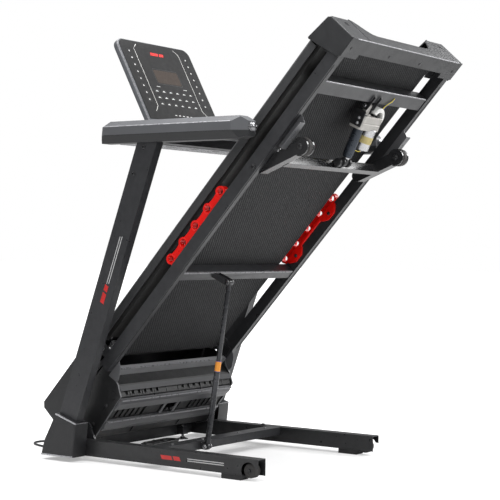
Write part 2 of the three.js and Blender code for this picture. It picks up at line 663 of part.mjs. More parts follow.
function liftArm(side) {
  const { out, width, half } = LIFT;
  const [x0, x1] = span(side, out - width, out);
  const [w0, w1] = span(side, out - width + 7, out - 7);
  const body = join(
    deckPrism([onArm(0, -half), onArm(armLength, -half), onArm(armLength, half), onArm(0, half)], x0, x1),
    deckRod(half, x0, x1, LIFT.s, LIFT.n, 20),
    deckRod(HUB.plate, x0, x1, HUB.s, HUB.n, 20));
  const wheelSpace = deckRod(HUB.r + 3.4, w0, w1, HUB.s, HUB.n, 20);
  const [a0, a1] = span(side, out - width + 1, out - 1);
  const axle = deckRod(5, a0, a1, HUB.s, HUB.n, 12);
  const [b0, b1] = span(side, out - 6, out + 1);
  const bore = deckRod(6.6, b0, b1, LIFT.s, LIFT.n, 16);
  return cut(join(cut(body, wheelSpace), axle), bore);
}

function liftFrame() {
  const inner = LIFT.out - LIFT.width + 1;
  const { along0, along1, across0, across1 } = LIFT_BAR;
  const bar = deckPrism([
    onArm(along0, across0), onArm(along1, across0), onArm(along1, across1), onArm(along0, across1),
  ], -inner, inner);
  const { x, lowS, lowN } = ACTUATOR;
  const lug = [
    onArm(along1 - 1, across1 - 1), onArm(along1 - 1, across0 + 2),
    [lowS - 4, lowN - 10], [lowS + 9, lowN], [lowS + 4, lowN + 12],
  ];
  const lugs = [[x - 16, x - 12], [x + 12, x + 16]].map(([c0, c1]) => deckPrism(lug, c0, c1));
  return join(bar, liftArm(-1), liftArm(1), ...lugs);
}

// Points along the actuator, from its upper pin (0) to its lower pin (full length).
const actuatorLength = Math.hypot(ACTUATOR.topS - ACTUATOR.lowS, ACTUATOR.topN - ACTUATOR.lowN);
const actuatorTilt = Math.atan2(ACTUATOR.topN - ACTUATOR.lowN, ACTUATOR.topS - ACTUATOR.lowS);

// The actuator is drawn along its own -Z from the upper pin, then turned into the deck.
function actuatorBody() {
  const tube = rod('z', 16, -166, -60, [0, 0], 16);
  const gearbox = join(
    block(-28, 84, -22, 24, -72, -28),
    rod('z', 19, -73, -22, [0, 0], 16));
  const motor = rod('z', 24, -138, -60, [50, -4], 20);
  const eye = join(block(-10, 10, -8, 8, -30, 0), rod('x', 9, -10, 10, [0, 0], 14));
  return cut(
    join(tube, gearbox, motor, eye),
    rod('x', 4.6, -20, 20, [0, 0], 12),
    rod('z', 10.5, -170, -70, [0, 0], 16));
}

function actuatorRod() {
  const low = -actuatorLength;
  return join(
    rod('z', 10, low + 6, -80, [0, 0], 16),
    block(-8, 8, -9, 9, low - 2, low + 12),
    rod('x', 9, -8, 8, [0, low], 20));
}

function buildLift() {
  place(deck, 'lift_frame', liftFrame(), BLACK_STEEL);
  SIDES.forEach(([word, side]) => {
    const [x0, x1] = span(side, LIFT.out - LIFT.width + 8, LIFT.out - 8);
    const roll = place(deck, `lift_wheel_${word}`, wheel(HUB.r, x0, x1, 5.5), RUBBER);
    roll.position.set(0, -HUB.s, HUB.n);
  });
  const actuator = new THREE.Group();
  actuator.position.set(ACTUATOR.x, -ACTUATOR.topS, ACTUATOR.topN);
  actuator.rotation.x = Math.PI / 2 - actuatorTilt;
  deck.add(actuator);
  place(actuator, 'actuator_body', actuatorBody(), CAST);
  place(actuator, 'actuator_rod', actuatorRod(), STEEL);
}

// ---- gas strut ------------------------------------------------------------------------
// The point of the deck at (s, n), in the machine's own frame.
function deckToMachine(s, n) {
  const a = THREE.MathUtils.degToRad(FOLD_ANGLE);
  return [
    PIVOT.y - s * Math.cos(a) + n * Math.sin(a),
    PIVOT.z + s * Math.sin(a) + n * Math.cos(a),
  ];
}

function buildStrut() {
  const [topY, topZ] = deckToMachine(STRUT.s, STRUT.n);
  const [lowY, lowZ] = STRUT.low;
  const length = Math.hypot(topY - lowY, topZ - lowZ);
  const strut = new THREE.Group();
  strut.position.set(STRUT.x, lowY, lowZ);
  strut.rotation.x = Math.atan2(lowY - topY, topZ - lowZ);
  treadmill.add(strut);
  const tube = cut(
    join(rod('z', STRUT.tube, 8, STRUT.tubeLen, [0, 0], 20), rod('x', 10, -8, 8, [0, 0], 20)),
    rod('z', STRUT.rod + GAP, 14, STRUT.tubeLen + 1, [0, 0], 20),
    rod('x', 4.4, -9, 9, [0, 0], 16));
  place(strut, 'strut_tube', tube, BLACK_STEEL);
  const rodBody = join(
    rod('z', STRUT.rod, length - STRUT.rodLen, length - 6, [0, 0], 20),
    rod('x', 9, -10, 10, [0, length], 20));
  place(strut, 'strut_rod', rodBody, BLACK_STEEL);
}

// ---- power inlet and cord -------------------------------------------------------------
function powerInlet() {
  const { x, y, z } = INLET;
  const plate = prismX([[y, z - 20], [y + 12, z - 17], [y + 12, z + 17], [y, z + 20]], x - 32, x + 32);
  return cut(plate, block(x + 4, x + 24, y + 3, y + 20, z - 14.5, z + 14.5));
}

function powerSwitch() {
  return prismX([[-3.5, -12], [1.5, -12], [4.5, 0], [1.5, 12], [-3.5, 12]], -8.5, 8.5);
}

function cordGland() {
  const bore = CORD_R + GAP;
  const profile = [[bore, 0], [9, 0], [9, 4], [7.5, 5], [5.2, 30], [bore, 30], [bore, 0]];
  return solid(new THREE.LatheGeometry(profile.map(([u, v]) => new THREE.Vector2(u, v)), 20));
}

// The cord's way from the gland, out over the floor, round a loose bend and back under the frame.
const CORD_POINTS = [
  [-216, 493, 41], [-216, 508, 41], [-216, 524, 41], [-218, 548, 35], [-220, 572, 18], [-222, 598, 5],
  [-220, 625, 3.8], [-214, 655, 3.8], [-204, 688, 3.8], [-188, 718, 3.8], [-164, 738, 3.8],
  [-136, 742, 3.8], [-112, 728, 3.8],
  [-98, 700, 3.8], [-92, 665, 3.8], [-88, 625, 3.8], [-83, 580, 3.8], [-76, 535, 3.8], [-66, 500, 3.8],
  [-54, 470, 3.8], [-38, 446, 3.8], [-19, 431, 4], [2, 426, 4.2],
];

function cordTube() {
  const path = new THREE.CatmullRomCurve3(CORD_POINTS.map((p) => new THREE.Vector3(...p)));
  const ring = [];
  for (let i = 0; i < 8; i += 1) {
    const a = 2 * Math.PI * i / 8;
    ring.push([CORD_R * Math.cos(a), CORD_R * Math.sin(a)]);
  }
  return solid(new THREE.ExtrudeGeometry(outline(ring), { steps: 60, extrudePath: path }));
}

function powerPlug() {
  const { x, y, z } = PLUG;
  return join(
    block(x - 40, x, y - 13, y + 13, HANK.z0, 22),
    rod('x', 4.8, x - 1, x + 12, [y, z], 12),
    ...[-6.35, 6.35].map((dy) => block(x - 57, x - 39, y + dy - 0.75, y + dy + 0.75, 4, 10.3)),
    rod('x', 2.4, x - 60, x - 39, [y, 17], 10));
}

function buildCord() {
  place(treadmill, 'power_inlet', powerInlet(), PLASTIC);
  const rocker = place(treadmill, 'power_switch', powerSwitch(), RED);
  rocker.position.set(INLET.x + 14, INLET.y + 9, INLET.z);
  rocker.rotation.x = THREE.MathUtils.degToRad(-9);
  const gland = place(treadmill, 'cord_gland', cordGland(), RUBBER);
  gland.position.set(-216, INLET.y + 12 + GAP, INLET.z);
  place(treadmill, 'power_cord', cordTube(), RUBBER);
  const { x, y, half, r, z0, z1 } = HANK;
  const loop = loopOutline([x - half, y], r, [x + half, y], r, 10);
  place(treadmill, 'cord_hank', prismZ(loop, z0, z1), RUBBER);
  place(treadmill, 'power_plug', powerPlug(), RUBBER);
}

buildBase();
buildConsole();
buildDeck();
buildRollers();
buildLift();
buildStrut();
buildCord();

export default treadmill;
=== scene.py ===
"""Looks for the folding treadmill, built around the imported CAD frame."""

import math

import bmesh
import bpy
from mathutils import Matrix, Vector


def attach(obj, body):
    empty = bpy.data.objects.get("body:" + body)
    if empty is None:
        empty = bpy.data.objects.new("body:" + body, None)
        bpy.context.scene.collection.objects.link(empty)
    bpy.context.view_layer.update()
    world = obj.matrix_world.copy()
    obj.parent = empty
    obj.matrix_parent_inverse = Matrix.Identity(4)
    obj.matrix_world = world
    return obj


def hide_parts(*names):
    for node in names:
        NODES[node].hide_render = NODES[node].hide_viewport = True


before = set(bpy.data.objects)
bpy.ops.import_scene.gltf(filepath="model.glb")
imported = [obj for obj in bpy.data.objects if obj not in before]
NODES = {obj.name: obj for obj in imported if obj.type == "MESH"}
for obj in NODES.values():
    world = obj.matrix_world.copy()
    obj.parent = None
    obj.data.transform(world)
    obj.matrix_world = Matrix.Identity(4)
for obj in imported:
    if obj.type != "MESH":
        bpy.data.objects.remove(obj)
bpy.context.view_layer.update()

# ---- sizes shared with the CAD, in millimetres; s runs back along the deck, n stands off it ----
MM = 0.001
SHIFT_Y = 1.85
PIVOT_Y, PIVOT_Z = 384.0, 97.0
FOLD = math.radians(48)
BASE_OUT = 340.0
POST_OUT, POST_LEAN, POST_FOOT_Y = 383.0, 0.36, 404.7
LIFT_S, LIFT_N, HUB_S, HUB_N = 1013.0, 65.0, 1148.0, -1.0
ACT_X, ACT_TOP, ACT_LOW = 15.0, (1277.0, 62.0), (1100.0, 9.0)
STRUT_X, STRUT_LOW, STRUT_TOP = -125.0, (52.0, 48.0), (614.0, 3.0)
ROLLER_N, ROLLER_FRONT, ROLLER_REAR = 118.5, 228.0, 1442.0
PULLEY_S, PULLEY_N = 70.0, 75.0
TRANSPORT_Y, TRANSPORT_Z = -255.0, 29.0
GLAND_X, INLET_X, INLET_Y, INLET_Z = -216.0, -200.0, 478.3, 41.0
CORD_R = 3.5
AXIS = 0.01  # the radius at which a solid profile starts and ends, in place of zero
SHARP_ANGLE, BEVEL_ANGLE, FLAT_ANGLE = math.radians(32), math.radians(30), math.radians(1)
RIPPLE_DEPTH = 0.0004
SIDES = (("left", -1), ("right", 1))
OUTWARD = (-1, 1)


def deck_point(s, n):
    """(y, z) of a point of the folded deck, s behind the fold pivot and n above it."""
    y = PIVOT_Y - s * math.cos(FOLD) + n * math.sin(FOLD)
    z = PIVOT_Z + s * math.sin(FOLD) + n * math.cos(FOLD)
    return y, z


# ---- places: matrices that take local millimetres to the row frame -----------------------
def placed(x, y, z, tilt=0.0):
    """A place moved to (x, y, z) and turned about X."""
    return Matrix.Translation((x, y, z)) @ Matrix.Rotation(tilt, 4, "X")


BASE = Matrix.Translation((0, SHIFT_Y, 0))
DECK = BASE @ placed(0, PIVOT_Y, PIVOT_Z, -FOLD)
SLAB = BASE @ placed(0, 228, 1031, math.radians(-28.5))
ACT_LENGTH = math.hypot(ACT_TOP[0] - ACT_LOW[0], ACT_TOP[1] - ACT_LOW[1])
ACT_TILT = math.atan2(ACT_TOP[1] - ACT_LOW[1], ACT_TOP[0] - ACT_LOW[0])
ACTUATOR = DECK @ placed(ACT_X, -ACT_TOP[0], ACT_TOP[1], math.pi / 2 - ACT_TILT)
LIFT_LUG = DECK @ placed(ACT_X, -ACT_LOW[0], ACT_LOW[1])
TOP_Y, TOP_Z = deck_point(*STRUT_TOP)
STRUT_LENGTH = math.hypot(TOP_Y - STRUT_LOW[0], TOP_Z - STRUT_LOW[1])
STRUT = BASE @ placed(STRUT_X, *STRUT_LOW, math.atan2(STRUT_LOW[0] - TOP_Y, TOP_Z - STRUT_LOW[1]))


# ---- camera ------------------------------------------------------------------------------
def make_camera():
    """A camera from the rear left, a little rolled; its place is in metres before the row's shift."""
    azimuth, elevation, roll = math.radians(-54.89), math.radians(0.25), math.radians(0.65)
    x, y, z = -3.6407, -2.5728, 0.6741
    focal_length, image_width = 1423.7, 500
    back = Vector((math.sin(azimuth) * math.cos(elevation), -math.cos(azimuth) * math.cos(elevation),
                   math.sin(elevation)))
    right = Vector((0, 0, 1)).cross(back).normalized()
    up = back.cross(right)
    side = math.cos(roll) * right + math.sin(roll) * up
    top = -math.sin(roll) * right + math.cos(roll) * up
    data = bpy.data.cameras.new("camera")
    data.sensor_width = 36.0
    data.lens = data.sensor_width * focal_length / image_width
    data.clip_end = 200
    camera = bpy.data.objects.new("camera", data)
    camera.matrix_world = Matrix((
        (side.x, top.x, back.x, x),
        (side.y, top.y, back.y, y + SHIFT_Y * MM),
        (side.z, top.z, back.z, z),
        (0, 0, 0, 1)))
    bpy.context.scene.collection.objects.link(camera)
    bpy.context.scene.camera = camera


make_camera()


# ---- materials ---------------------------------------------------------------------------
class Graph:
    """The nodes of a material or a world, with short names for the ones that finishes use."""

    def __init__(self, owner, coordinates="Object"):
        owner.use_nodes = True
        self.owner = owner
        self.tree = owner.node_tree
        self.shader = self.tree.nodes.get("Principled BSDF")
        self.place = self.add("ShaderNodeTexCoord").outputs[coordinates]

    def add(self, kind, **values):
        """A new node; a value with a capital letter is a socket's, any other is a setting's."""
        node = self.tree.nodes.new(kind)
        for key, value in values.items():
            if key[0].isupper():
                node.inputs[key].default_value = value
            else:
                setattr(node, key, value)
        return node

    def link(self, source, target):
        self.tree.links.new(source, target)

    def set(self, values):
        """Feeds the shader's sockets, by name, with constants or with other nodes' outputs."""
        for name, value in values.items():
            if isinstance(value, bpy.types.NodeSocket):
                self.link(value, self.shader.inputs[name])
            else:
                self.shader.inputs[name].default_value = value

    def noise(self, scale, detail=2.0, stretch=None):
        node = self.add("ShaderNodeTexNoise", Scale=scale, Detail=detail)
        place = self.place
        if stretch:
            mapping = self.add("ShaderNodeMapping", Scale=stretch)
            self.link(place, mapping.inputs["Vector"])
            place = mapping.outputs["Vector"]
        self.link(place, node.inputs["Vector"])
        return node.outputs["Fac"]

    def wave(self, scale, angle, distortion):
        mapping = self.add("ShaderNodeMapping", Rotation=(0, 0, math.radians(angle)))
        self.link(self.place, mapping.inputs["Vector"])
        node = self.add("ShaderNodeTexWave", Scale=scale, Distortion=distortion)
        self.link(mapping.outputs["Vector"], node.inputs["Vector"])
        return node.outputs["Fac"]

    def ramp(self, source, stops):
        node = self.add("ShaderNodeValToRGB")
        elements = node.color_ramp.elements
        while len(elements) < len(stops):
            elements.new(0.5)
        for element, (position, color) in zip(elements, stops):
            element.position = position
            element.color = (*color, 1)
        self.link(source, node.inputs["Fac"])
        return node.outputs["Color"]

    def mottled(self, source, color, amount):
        """The colour, darker and lighter by the amount as the source goes."""
        return self.ramp(source, [(0.3, shade(color, 1 - amount)), (0.7, shade(color, 1 + amount))])

    def remap(self, source, low, high, start=0.25, stop=0.75):
        """Takes start to low and stop to high; a noise stays mostly between the usual two."""
        node = self.add("ShaderNodeMapRange")
        for name, value in (("From Min", start), ("From Max", stop), ("To Min", low), ("To Max", high)):
            node.inputs[name].default_value = value
        self.link(source, node.inputs["Value"])
        return node.outputs["Result"]

    def height(self):
        split = self.add("ShaderNodeSeparateXYZ")
        self.link(self.place, split.inputs[0])
        return split.outputs["Z"]

    def mix(self, factor, first, second):
        """A mix of two colours; the second may be a constant."""
        node = self.add("ShaderNodeMix", data_type="RGBA")
        self.link(factor, node.inputs["Factor"])
        self.link(first, node.inputs[6])
        if isinstance(second, tuple):
            node.inputs[7].default_value = (*second, 1)
        else:
            self.link(second, node.inputs[7])
        return node.outputs[2]

    def times(self, first, second):
        node = self.add("ShaderNodeMath", operation="MULTIPLY")
        self.link(first, node.inputs[0])
        self.link(second, node.inputs[1])
        return node.outputs[0]

    def bump(self, height, distance, strength=1.0, below=None):
        node = self.add("ShaderNodeBump", Distance=distance, Strength=strength)
        self.link(height, node.inputs["Height"])
        if below:
            self.link(below, node.inputs["Normal"])
        return node.outputs["Normal"]


def shade(color, factor):
    return tuple(min(1.0, c * factor) for c in color)


def finish(name, color, rough, metal, mottle, scale, grain, depth, coat=0.0, edge=0.0, spread=0.08,
           specular=0.5, brushed=None, ripple=0.35):
    """A general finish: mottled colour, varied roughness, fine grain, and convex edges painted lighter in
    patches, partly as wear and partly as painted highlights.
    """
    g = Graph(bpy.data.materials.new(name))
    base = g.mottled(g.noise(scale, 5.0), color, mottle)
    if edge:
        # Convex edges, found by pointiness, are lightened in patches: partly wear, partly a painted highlight
        # standing in for the shine of rounded edges.
        pointiness = g.add("ShaderNodeNewGeometry").outputs["Pointiness"]
        edge_wear_and_sheen = g.ramp(pointiness, [(0.51, (0, 0, 0)), (0.60, (edge, edge, edge))])
        patchy_wear_and_sheen = g.mix(g.noise(60.0, 4.0), edge_wear_and_sheen, (0.0, 0.0, 0.0))
        base = g.mix(patchy_wear_and_sheen, base, shade(color, 3.2))
    fine = g.bump(g.noise(grain, 2.0, brushed), depth)
    g.set({"Base Color": base, "Roughness": g.remap(g.noise(scale * 4, 3.0), rough - spread, rough + spread),
           "Metallic": metal, "Specular IOR Level": specular, "Coat Weight": coat, "Coat Roughness": 0.12,
           "Normal": g.bump(g.noise(scale * 2, 2.0), RIPPLE_DEPTH, ripple, fine)})
    return g.owner


def woven(name, dark, light, scale, depth):
    """Belt cloth: two crossing sets of ribs over a slow change of tone."""
    g = Graph(bpy.data.materials.new(name))
    ribs = g.times(g.wave(scale, 28, 0.5), g.remap(g.wave(scale * 1.3, -35, 0.5), 0.55, 1.0, 0.0, 1.0))
    fine = g.wave(scale * 3.1, 90, 0.4)
    tone = g.ramp(ribs, [(0.1, dark), (0.75, light)])
    g.set({"Base Color": g.mix(g.remap(g.noise(5.0, 4.0), 0.0, 0.35), tone, shade(dark, 0.8)),
           "Roughness": g.remap(g.noise(180.0), 0.62, 0.82), "Specular IOR Level": 0.35,
           "Normal": g.bump(ribs, depth, 0.8, g.bump(fine, depth * 0.4, 0.6))})
    return g.owner


def painted_shade_below(name, lower, upper, seam, rough):
    """A moulding in the upper tone, painted darker below the seam height in metres as shade on its
    downward-facing facet.
    """
    g = Graph(bpy.data.materials.new(name))
    blur, mottle = 0.0006, 0.07
    step = g.remap(g.height(), 0.0, 1.0, seam - blur, seam + blur)
    cloud = g.noise(8.0, 5.0)
    g.set({"Base Color": g.mix(step, g.mottled(cloud, lower, mottle), g.mottled(cloud, upper, mottle)),
           "Roughness": g.remap(g.noise(32.0, 3.0), rough - 0.05, rough + 0.05), "Specular IOR Level": 0.4,
           "Normal": g.bump(g.noise(16.0, 2.0), RIPPLE_DEPTH, 0.2, g.bump(g.noise(1500.0, 2.0), 0.00008))})
    return g.owner


# Each finish: name, colour, roughness, metal, mottle and its scale, grain and its depth in metres.
PAINT = finish("frame_paint", (0.024, 0.0245, 0.0265), 0.34, 0.1, 0.10, 7.0, 900.0, 0.00005, edge=0.35)
BLACK_PAINT = finish("black_paint", (0.014, 0.0142, 0.015), 0.33, 0.1, 0.12, 11.0, 900.0, 0.00005, edge=0.5)
GLOSS_PAINT = finish("gloss_paint", (0.018, 0.0182, 0.0195), 0.22, 0.1, 0.08, 8.0, 900.0, 0.00001,
                     specular=0.6, spread=0.02, ripple=0.02)
# A lighter grey paint for the motor cradle, the wheel guards and the side-plate gussets; on the side-plate
# rims it makes painted highlights.
EDGE_PAINT = finish("edge_paint", (0.115, 0.116, 0.122), 0.34, 0.2, 0.06, 9.0, 900.0, 0.00002,
                    spread=0.02, ripple=0.1)
BAR_PAINT = finish("bar_paint", (0.25, 0.252, 0.26), 0.40, 0.1, 0.06, 9.0, 900.0, 0.00002,
                   spread=0.02, ripple=0.1)
LIP_PAINT = finish("lip_paint", (0.060, 0.061, 0.064), 0.50, 0.1, 0.06, 9.0, 900.0, 0.00002,
                   spread=0.02, specular=0.25, ripple=0.1)
# A pale paint for the strips that stand in as painted highlights on the cross pieces' arrises.
EDGE_HIGHLIGHT_PAINT = finish("edge_highlight_paint", (0.20, 0.20, 0.21), 0.30, 0.3, 0.08, 20.0, 1500.0, 0.00003, ripple=0.1)
# A pale trim; as the boot rims, the rail ridges and the rear cover's edge strip it makes painted highlights.
TRIM = finish("pale_trim", (0.42, 0.42, 0.44), 0.28, 0.35, 0.08, 20.0, 1500.0, 0.00004)

RAIL_PLASTIC = finish("rail_plastic", (0.074, 0.078, 0.085), 0.38, 0.0, 0.07, 8.0, 1500.0, 0.00008, edge=0.4)
# Handrail plastic with painted shade: darker below 0.9942 m, on the lower facet.
RAIL_SHADED_BELOW = painted_shade_below("rail_shaded_below", (0.022, 0.0225, 0.024), (0.105, 0.108, 0.115), 0.9942, 0.40)
SHELL_PLASTIC = finish("shell_plastic", (0.020, 0.0205, 0.022), 0.38, 0.0, 0.08, 8.0, 1500.0, 0.00009,
                       edge=0.35)
DARK_PLASTIC = finish("dark_plastic", (0.014, 0.0143, 0.0155), 0.42, 0.0, 0.1, 10.0, 1500.0, 0.00009,
                      edge=0.3)
GRIP_PLASTIC = finish("foot_rail_plastic", (0.026, 0.0265, 0.028), 0.48, 0.0, 0.1, 12.0, 700.0, 0.0003,
                      edge=0.3)
PAN_PLASTIC = finish("pan_plastic", (0.007, 0.0071, 0.0076), 0.46, 0.0, 0.15, 10.0, 1500.0, 0.00009, edge=0.3)
WHITE_PLASTIC = finish("white_plastic", (0.74, 0.74, 0.72), 0.38, 0.0, 0.05, 20.0, 1300.0, 0.00006)
PANEL = finish("console_panel", (0.010, 0.0101, 0.0106), 0.62, 0.0, 0.10, 14.0, 2200.0, 0.00003, specular=0.2)
DISPLAY = finish("display_window", (0.026, 0.017, 0.012), 0.60, 0.0, 0.15, 30.0, 900.0, 0.00001,
                 specular=0.25)
RED = finish("red_mark", (0.56, 0.016, 0.014), 0.36, 0.0, 0.08, 40.0, 900.0, 0.00003, coat=0.2)
PALE_MARK = finish("pale_mark", (0.50, 0.50, 0.50), 0.4, 0.0, 0.06, 60.0, 900.0, 0.00003)
ORANGE = finish("orange_sleeve", (0.80, 0.30, 0.025), 0.38, 0.0, 0.1, 40.0, 900.0, 0.00008)
YELLOW = finish("yellow_label", (0.46, 0.38, 0.16), 0.5, 0.0, 0.1, 60.0, 900.0, 0.00003)
YELLOW_WIRE = finish("yellow_wire", (0.72, 0.58, 0.05), 0.4, 0.0, 0.06, 60.0, 900.0, 0.00003)
BLUE_WIRE = finish("blue_wire", (0.03, 0.06, 0.34), 0.4, 0.0, 0.06, 60.0, 900.0, 0.00003)

RUBBER = finish("black_rubber", (0.020, 0.020, 0.021), 0.66, 0.0, 0.18, 40.0, 1100.0, 0.00012)
GREY_RUBBER = finish("grey_tyre", (0.050, 0.048, 0.047), 0.72, 0.0, 0.12, 40.0, 1100.0, 0.00012,
                     specular=0.25)
ELASTOMER = finish("red_elastomer", (0.78, 0.006, 0.003), 0.34, 0.0, 0.10, 16.0, 500.0, 0.00008, specular=0.3)
CORD = finish("cord_jacket", (0.018, 0.018, 0.019), 0.42, 0.0, 0.12, 60.0, 1500.0, 0.00008)
BELT = woven("belt_cloth", (0.005, 0.005, 0.0055), (0.036, 0.037, 0.039), 34.0, 0.0007)

STEEL = finish("zinc_steel", (0.55, 0.55, 0.56), 0.28, 0.95, 0.08, 60.0, 1200.0, 0.00005)
OXIDE = finish("black_oxide", (0.045, 0.045, 0.047), 0.30, 0.7, 0.12, 60.0, 1200.0, 0.00005, edge=0.5)
BRUSHED = finish("turned_steel", (0.50, 0.50, 0.51), 0.30, 0.95, 0.08, 30.0, 900.0, 0.00006,
                 brushed=(0.06, 1, 1))
SENSOR = finish("sensor_steel", (0.26, 0.26, 0.27), 0.24, 0.9, 0.08, 40.0, 900.0, 0.00004)
CAST = finish("cast_housing", (0.40, 0.385, 0.36), 0.48, 0.25, 0.12, 50.0, 650.0, 0.00025, edge=0.3)
BLUE_TUBE = finish("blued_tube", (0.040, 0.048, 0.060), 0.30, 0.55, 0.12, 22.0, 900.0, 0.00006,
                   brushed=(1, 1, 0.08))
STRUT_BLACK = finish("strut_black", (0.030, 0.031, 0.034), 0.26, 0.35, 0.1, 18.0, 900.0, 0.00004, edge=0.4)
BOARD = finish("coated_board", (0.014, 0.0135, 0.013), 0.55, 0.0, 0.2, 25.0, 500.0, 0.0002,
               brushed=(1, 0.06, 1))


# ---- outlines ----------------------------------------------------------------------------
def turned(axis, u, v, along):
    """The point at (u, v) across an axis: (y, z) across x, (x, z) across y or (x, y) across z."""
    return {"x": (along, u, v), "y": (u, along, v), "z": (u, v, along)}[axis]


def span(side, inner, outer):
    """The two distances as (low, high) on the given side of the middle."""
    return (-outer, -inner) if side < 0 else (inner, outer)


def arc(u, v, radius, start, stop, steps):
    """Points round (u, v) between two angles in degrees, both ends included."""
    angles = [math.radians(start + (stop - start) * k / steps) for k in range(steps + 1)]
    return [(u + radius * math.cos(a), v + radius * math.sin(a)) for a in angles]


def circle(u, v, radius, count):
    return arc(u, v, radius, 0, 360, count)[:-1]


def rounded(u0, u1, v0, v1, radius, steps=5):
    """A rectangle's outline with round corners, counter-clockwise."""
    out = []
    for u, v, start in ((u1, v0, -90), (u1, v1, 0), (u0, v1, 90), (u0, v0, 180)):
        inward_u = u - radius if u == u1 else u + radius
        inward_v = v - radius if v == v1 else v + radius
        out += arc(inward_u, inward_v, radius, start, start + 90, steps)
    return out


def shrunk(outline, amount):
    """The outline with each point drawn towards the mean of the points."""
    u = sum(p[0] for p in outline) / len(outline)
    v = sum(p[1] for p in outline) / len(outline)
    out = []
    for a, b in outline:
        keep = 1 - amount / math.hypot(a - u, b - v)
        out.append((u + (a - u) * keep, v + (b - v) * keep))
    return out


def ribbon(a, b, half):
    """A thin outline along the line from a to b, as wide as twice the half."""
    du, dv = b[0] - a[0], b[1] - a[1]
    length = math.hypot(du, dv)
    u, v = dv / length * half, -du / length * half
    return [(a[0] + u, a[1] + v), (b[0] + u, b[1] + v), (b[0] - u, b[1] - v), (a[0] - u, a[1] - v)]


def smooth_path(points, steps):
    """A Catmull-Rom line through the points."""
    points = [Vector(p) for p in points]
    padded = [2 * points[0] - points[1]] + points + [2 * points[-1] - points[-2]]
    out = []
    for i in range(1, len(padded) - 2):
        a, b, c, d = padded[i - 1:i + 3]
        for k in range(steps):
            t = k / steps
            out.append(0.5 * (2 * b + (c - a) * t + (2 * a - 5 * b + 4 * c - d) * t * t
                              + (3 * b - a - 3 * c + d) * t ** 3))
    out.append(points[-1])
    return out


# ---- piece building ----------------------------------------------------------------------
class Shape:
    """Closed shells in local millimetres, kept together in one mesh."""

    def __init__(self):
        self.bm = bmesh.new()

    def loft(self, rings, closed=False):
        """Joins rings of equal length; the ends are capped, or joined to each other if closed."""
        made = [[self.bm.verts.new(p) for p in ring] for ring in rings]
        following = made[1:] + made[:1] if closed else made[1:]
        for first, second in zip(made, following):
            count = len(first)
            for i in range(count):
                j = (i + 1) % count
                self.bm.faces.new((first[i], first[j], second[j], second[i]))
        if not closed:
            self.bm.faces.new(list(reversed(made[0])))
            self.bm.faces.new(made[-1])
        return self

    def prism(self, outline, axis, low, high):
        """An outline swept along an axis."""
        return self.loft([[turned(axis, u, v, level) for u, v in outline] for level in (low, high)])

    def deck(self, outline, low, high):
        """An outline of (s, n) points swept along X."""
        return self.prism([(-s, n) for s, n in outline], "x", low, high)

    def slab(self, rectangle, corner, axis, low, high, steps=5):
        """A rectangle (u0, u1, v0, v1) with round corners, swept along an axis."""
        return self.prism(rounded(*rectangle, corner, steps), axis, low, high)

    def layers(self, centre, corner, axis, sections, steps=5):
        """Round-cornered rectangles stacked along an axis, as (level, half width, half height)."""
        u, v = centre
        return self.loft([[turned(axis, a, b, level) for a, b in
                           rounded(u - w, u + w, v - h, v + h, corner, steps)] for level, w, h in sections])

    def window(self, outer, inner, corners, axis, low, high, steps=5):
        """A slab with a smaller one cut right through it."""
        rings = []
        for rectangle, corner, levels in ((outer, corners[0], (low, high)), (inner, corners[1], (high, low))):
            outline = rounded(*rectangle, corner, steps)
            rings += [[turned(axis, u, v, level) for u, v in outline] for level in levels]
        return self.loft(rings, closed=True)

    def lathe(self, profile, axis, centre, sides=40):
        """A closed or axis-to-axis profile of (along, radius) points turned about an axis."""
        rings = []
        for k in range(sides):
            a = 2 * math.pi * k / sides
            c, s = math.cos(a), math.sin(a)
            ring = []
            for along, radius in profile:
                u, v = (radius * s, radius * c) if axis == "y" else (radius * c, radius * s)
                ring.append(tuple(p + q for p, q in zip(turned(axis, u, v, along), centre)))
            rings.append(ring)
        return self.loft(rings, closed=True)

    def ring(self, axis, outer, inner, low, high, centre, sides=40, soft=1.0):
        """A round collar with softened edges."""
        slight = soft * 0.3
        return self.lathe([(low, inner), (low, outer - soft), (low + slight, outer - slight),
                           (low + soft, outer), (high - soft, outer), (high - slight, outer - slight),
                           (high, outer - soft), (high, inner)], axis, centre, sides)

    def rod(self, axis, radius, low, high, centre, sides=32, soft=1.0):
        """A round bar with softened ends."""
        soft = min(soft, radius * 0.45, abs(high - low) * 0.45)
        return self.ring(axis, radius, AXIS, low, high, centre, sides, soft)

    def screw(self, axis, radius, face, out, centre, head):
        """A socket-head screw on a washer; out is the side (+1 or -1) that the face looks to."""
        sunk, washer = 0.5, 1.4
        self.rod(axis, radius * 1.5, *sorted((face - out * sunk, face + out * washer)), centre, 28, 0.5)
        tip = face + out * (washer + head)
        hole = face + out * (washer + head * 0.35)
        return self.lathe([(face, AXIS), (face, radius), (tip - out * 0.8, radius), (tip, radius - 0.9),
                           (tip, radius * 0.55), (hole, radius * 0.5), (hole, AXIS)], axis, centre, 24)

    def screw_pair(self, radius, x, half, y, z, head):
        """Two screws that look away from each other along X."""
        for out in OUTWARD:
            self.screw("x", radius, x + out * half, out, (0, y, z), head)
        return self

    def piece(self, name, body, slot, material, place=BASE, bevel=0.0, segments=2, replaces=()):
        bmesh.ops.scale(self.bm, vec=(MM, MM, MM), verts=self.bm.verts)
        bmesh.ops.recalc_face_normals(self.bm, faces=self.bm.faces)
        mesh = bpy.data.meshes.new(name)
        self.bm.to_mesh(mesh)
        self.bm.free()
        mesh.materials.append(material)
        mesh.shade_smooth()
        mesh.set_sharp_from_angle(angle=SHARP_ANGLE)
        obj = bpy.data.objects.new(name, mesh)
        bpy.context.scene.collection.objects.link(obj)
        if bevel:
            soften(obj, bevel, segments)
        return settle(obj, body, place, replaces)


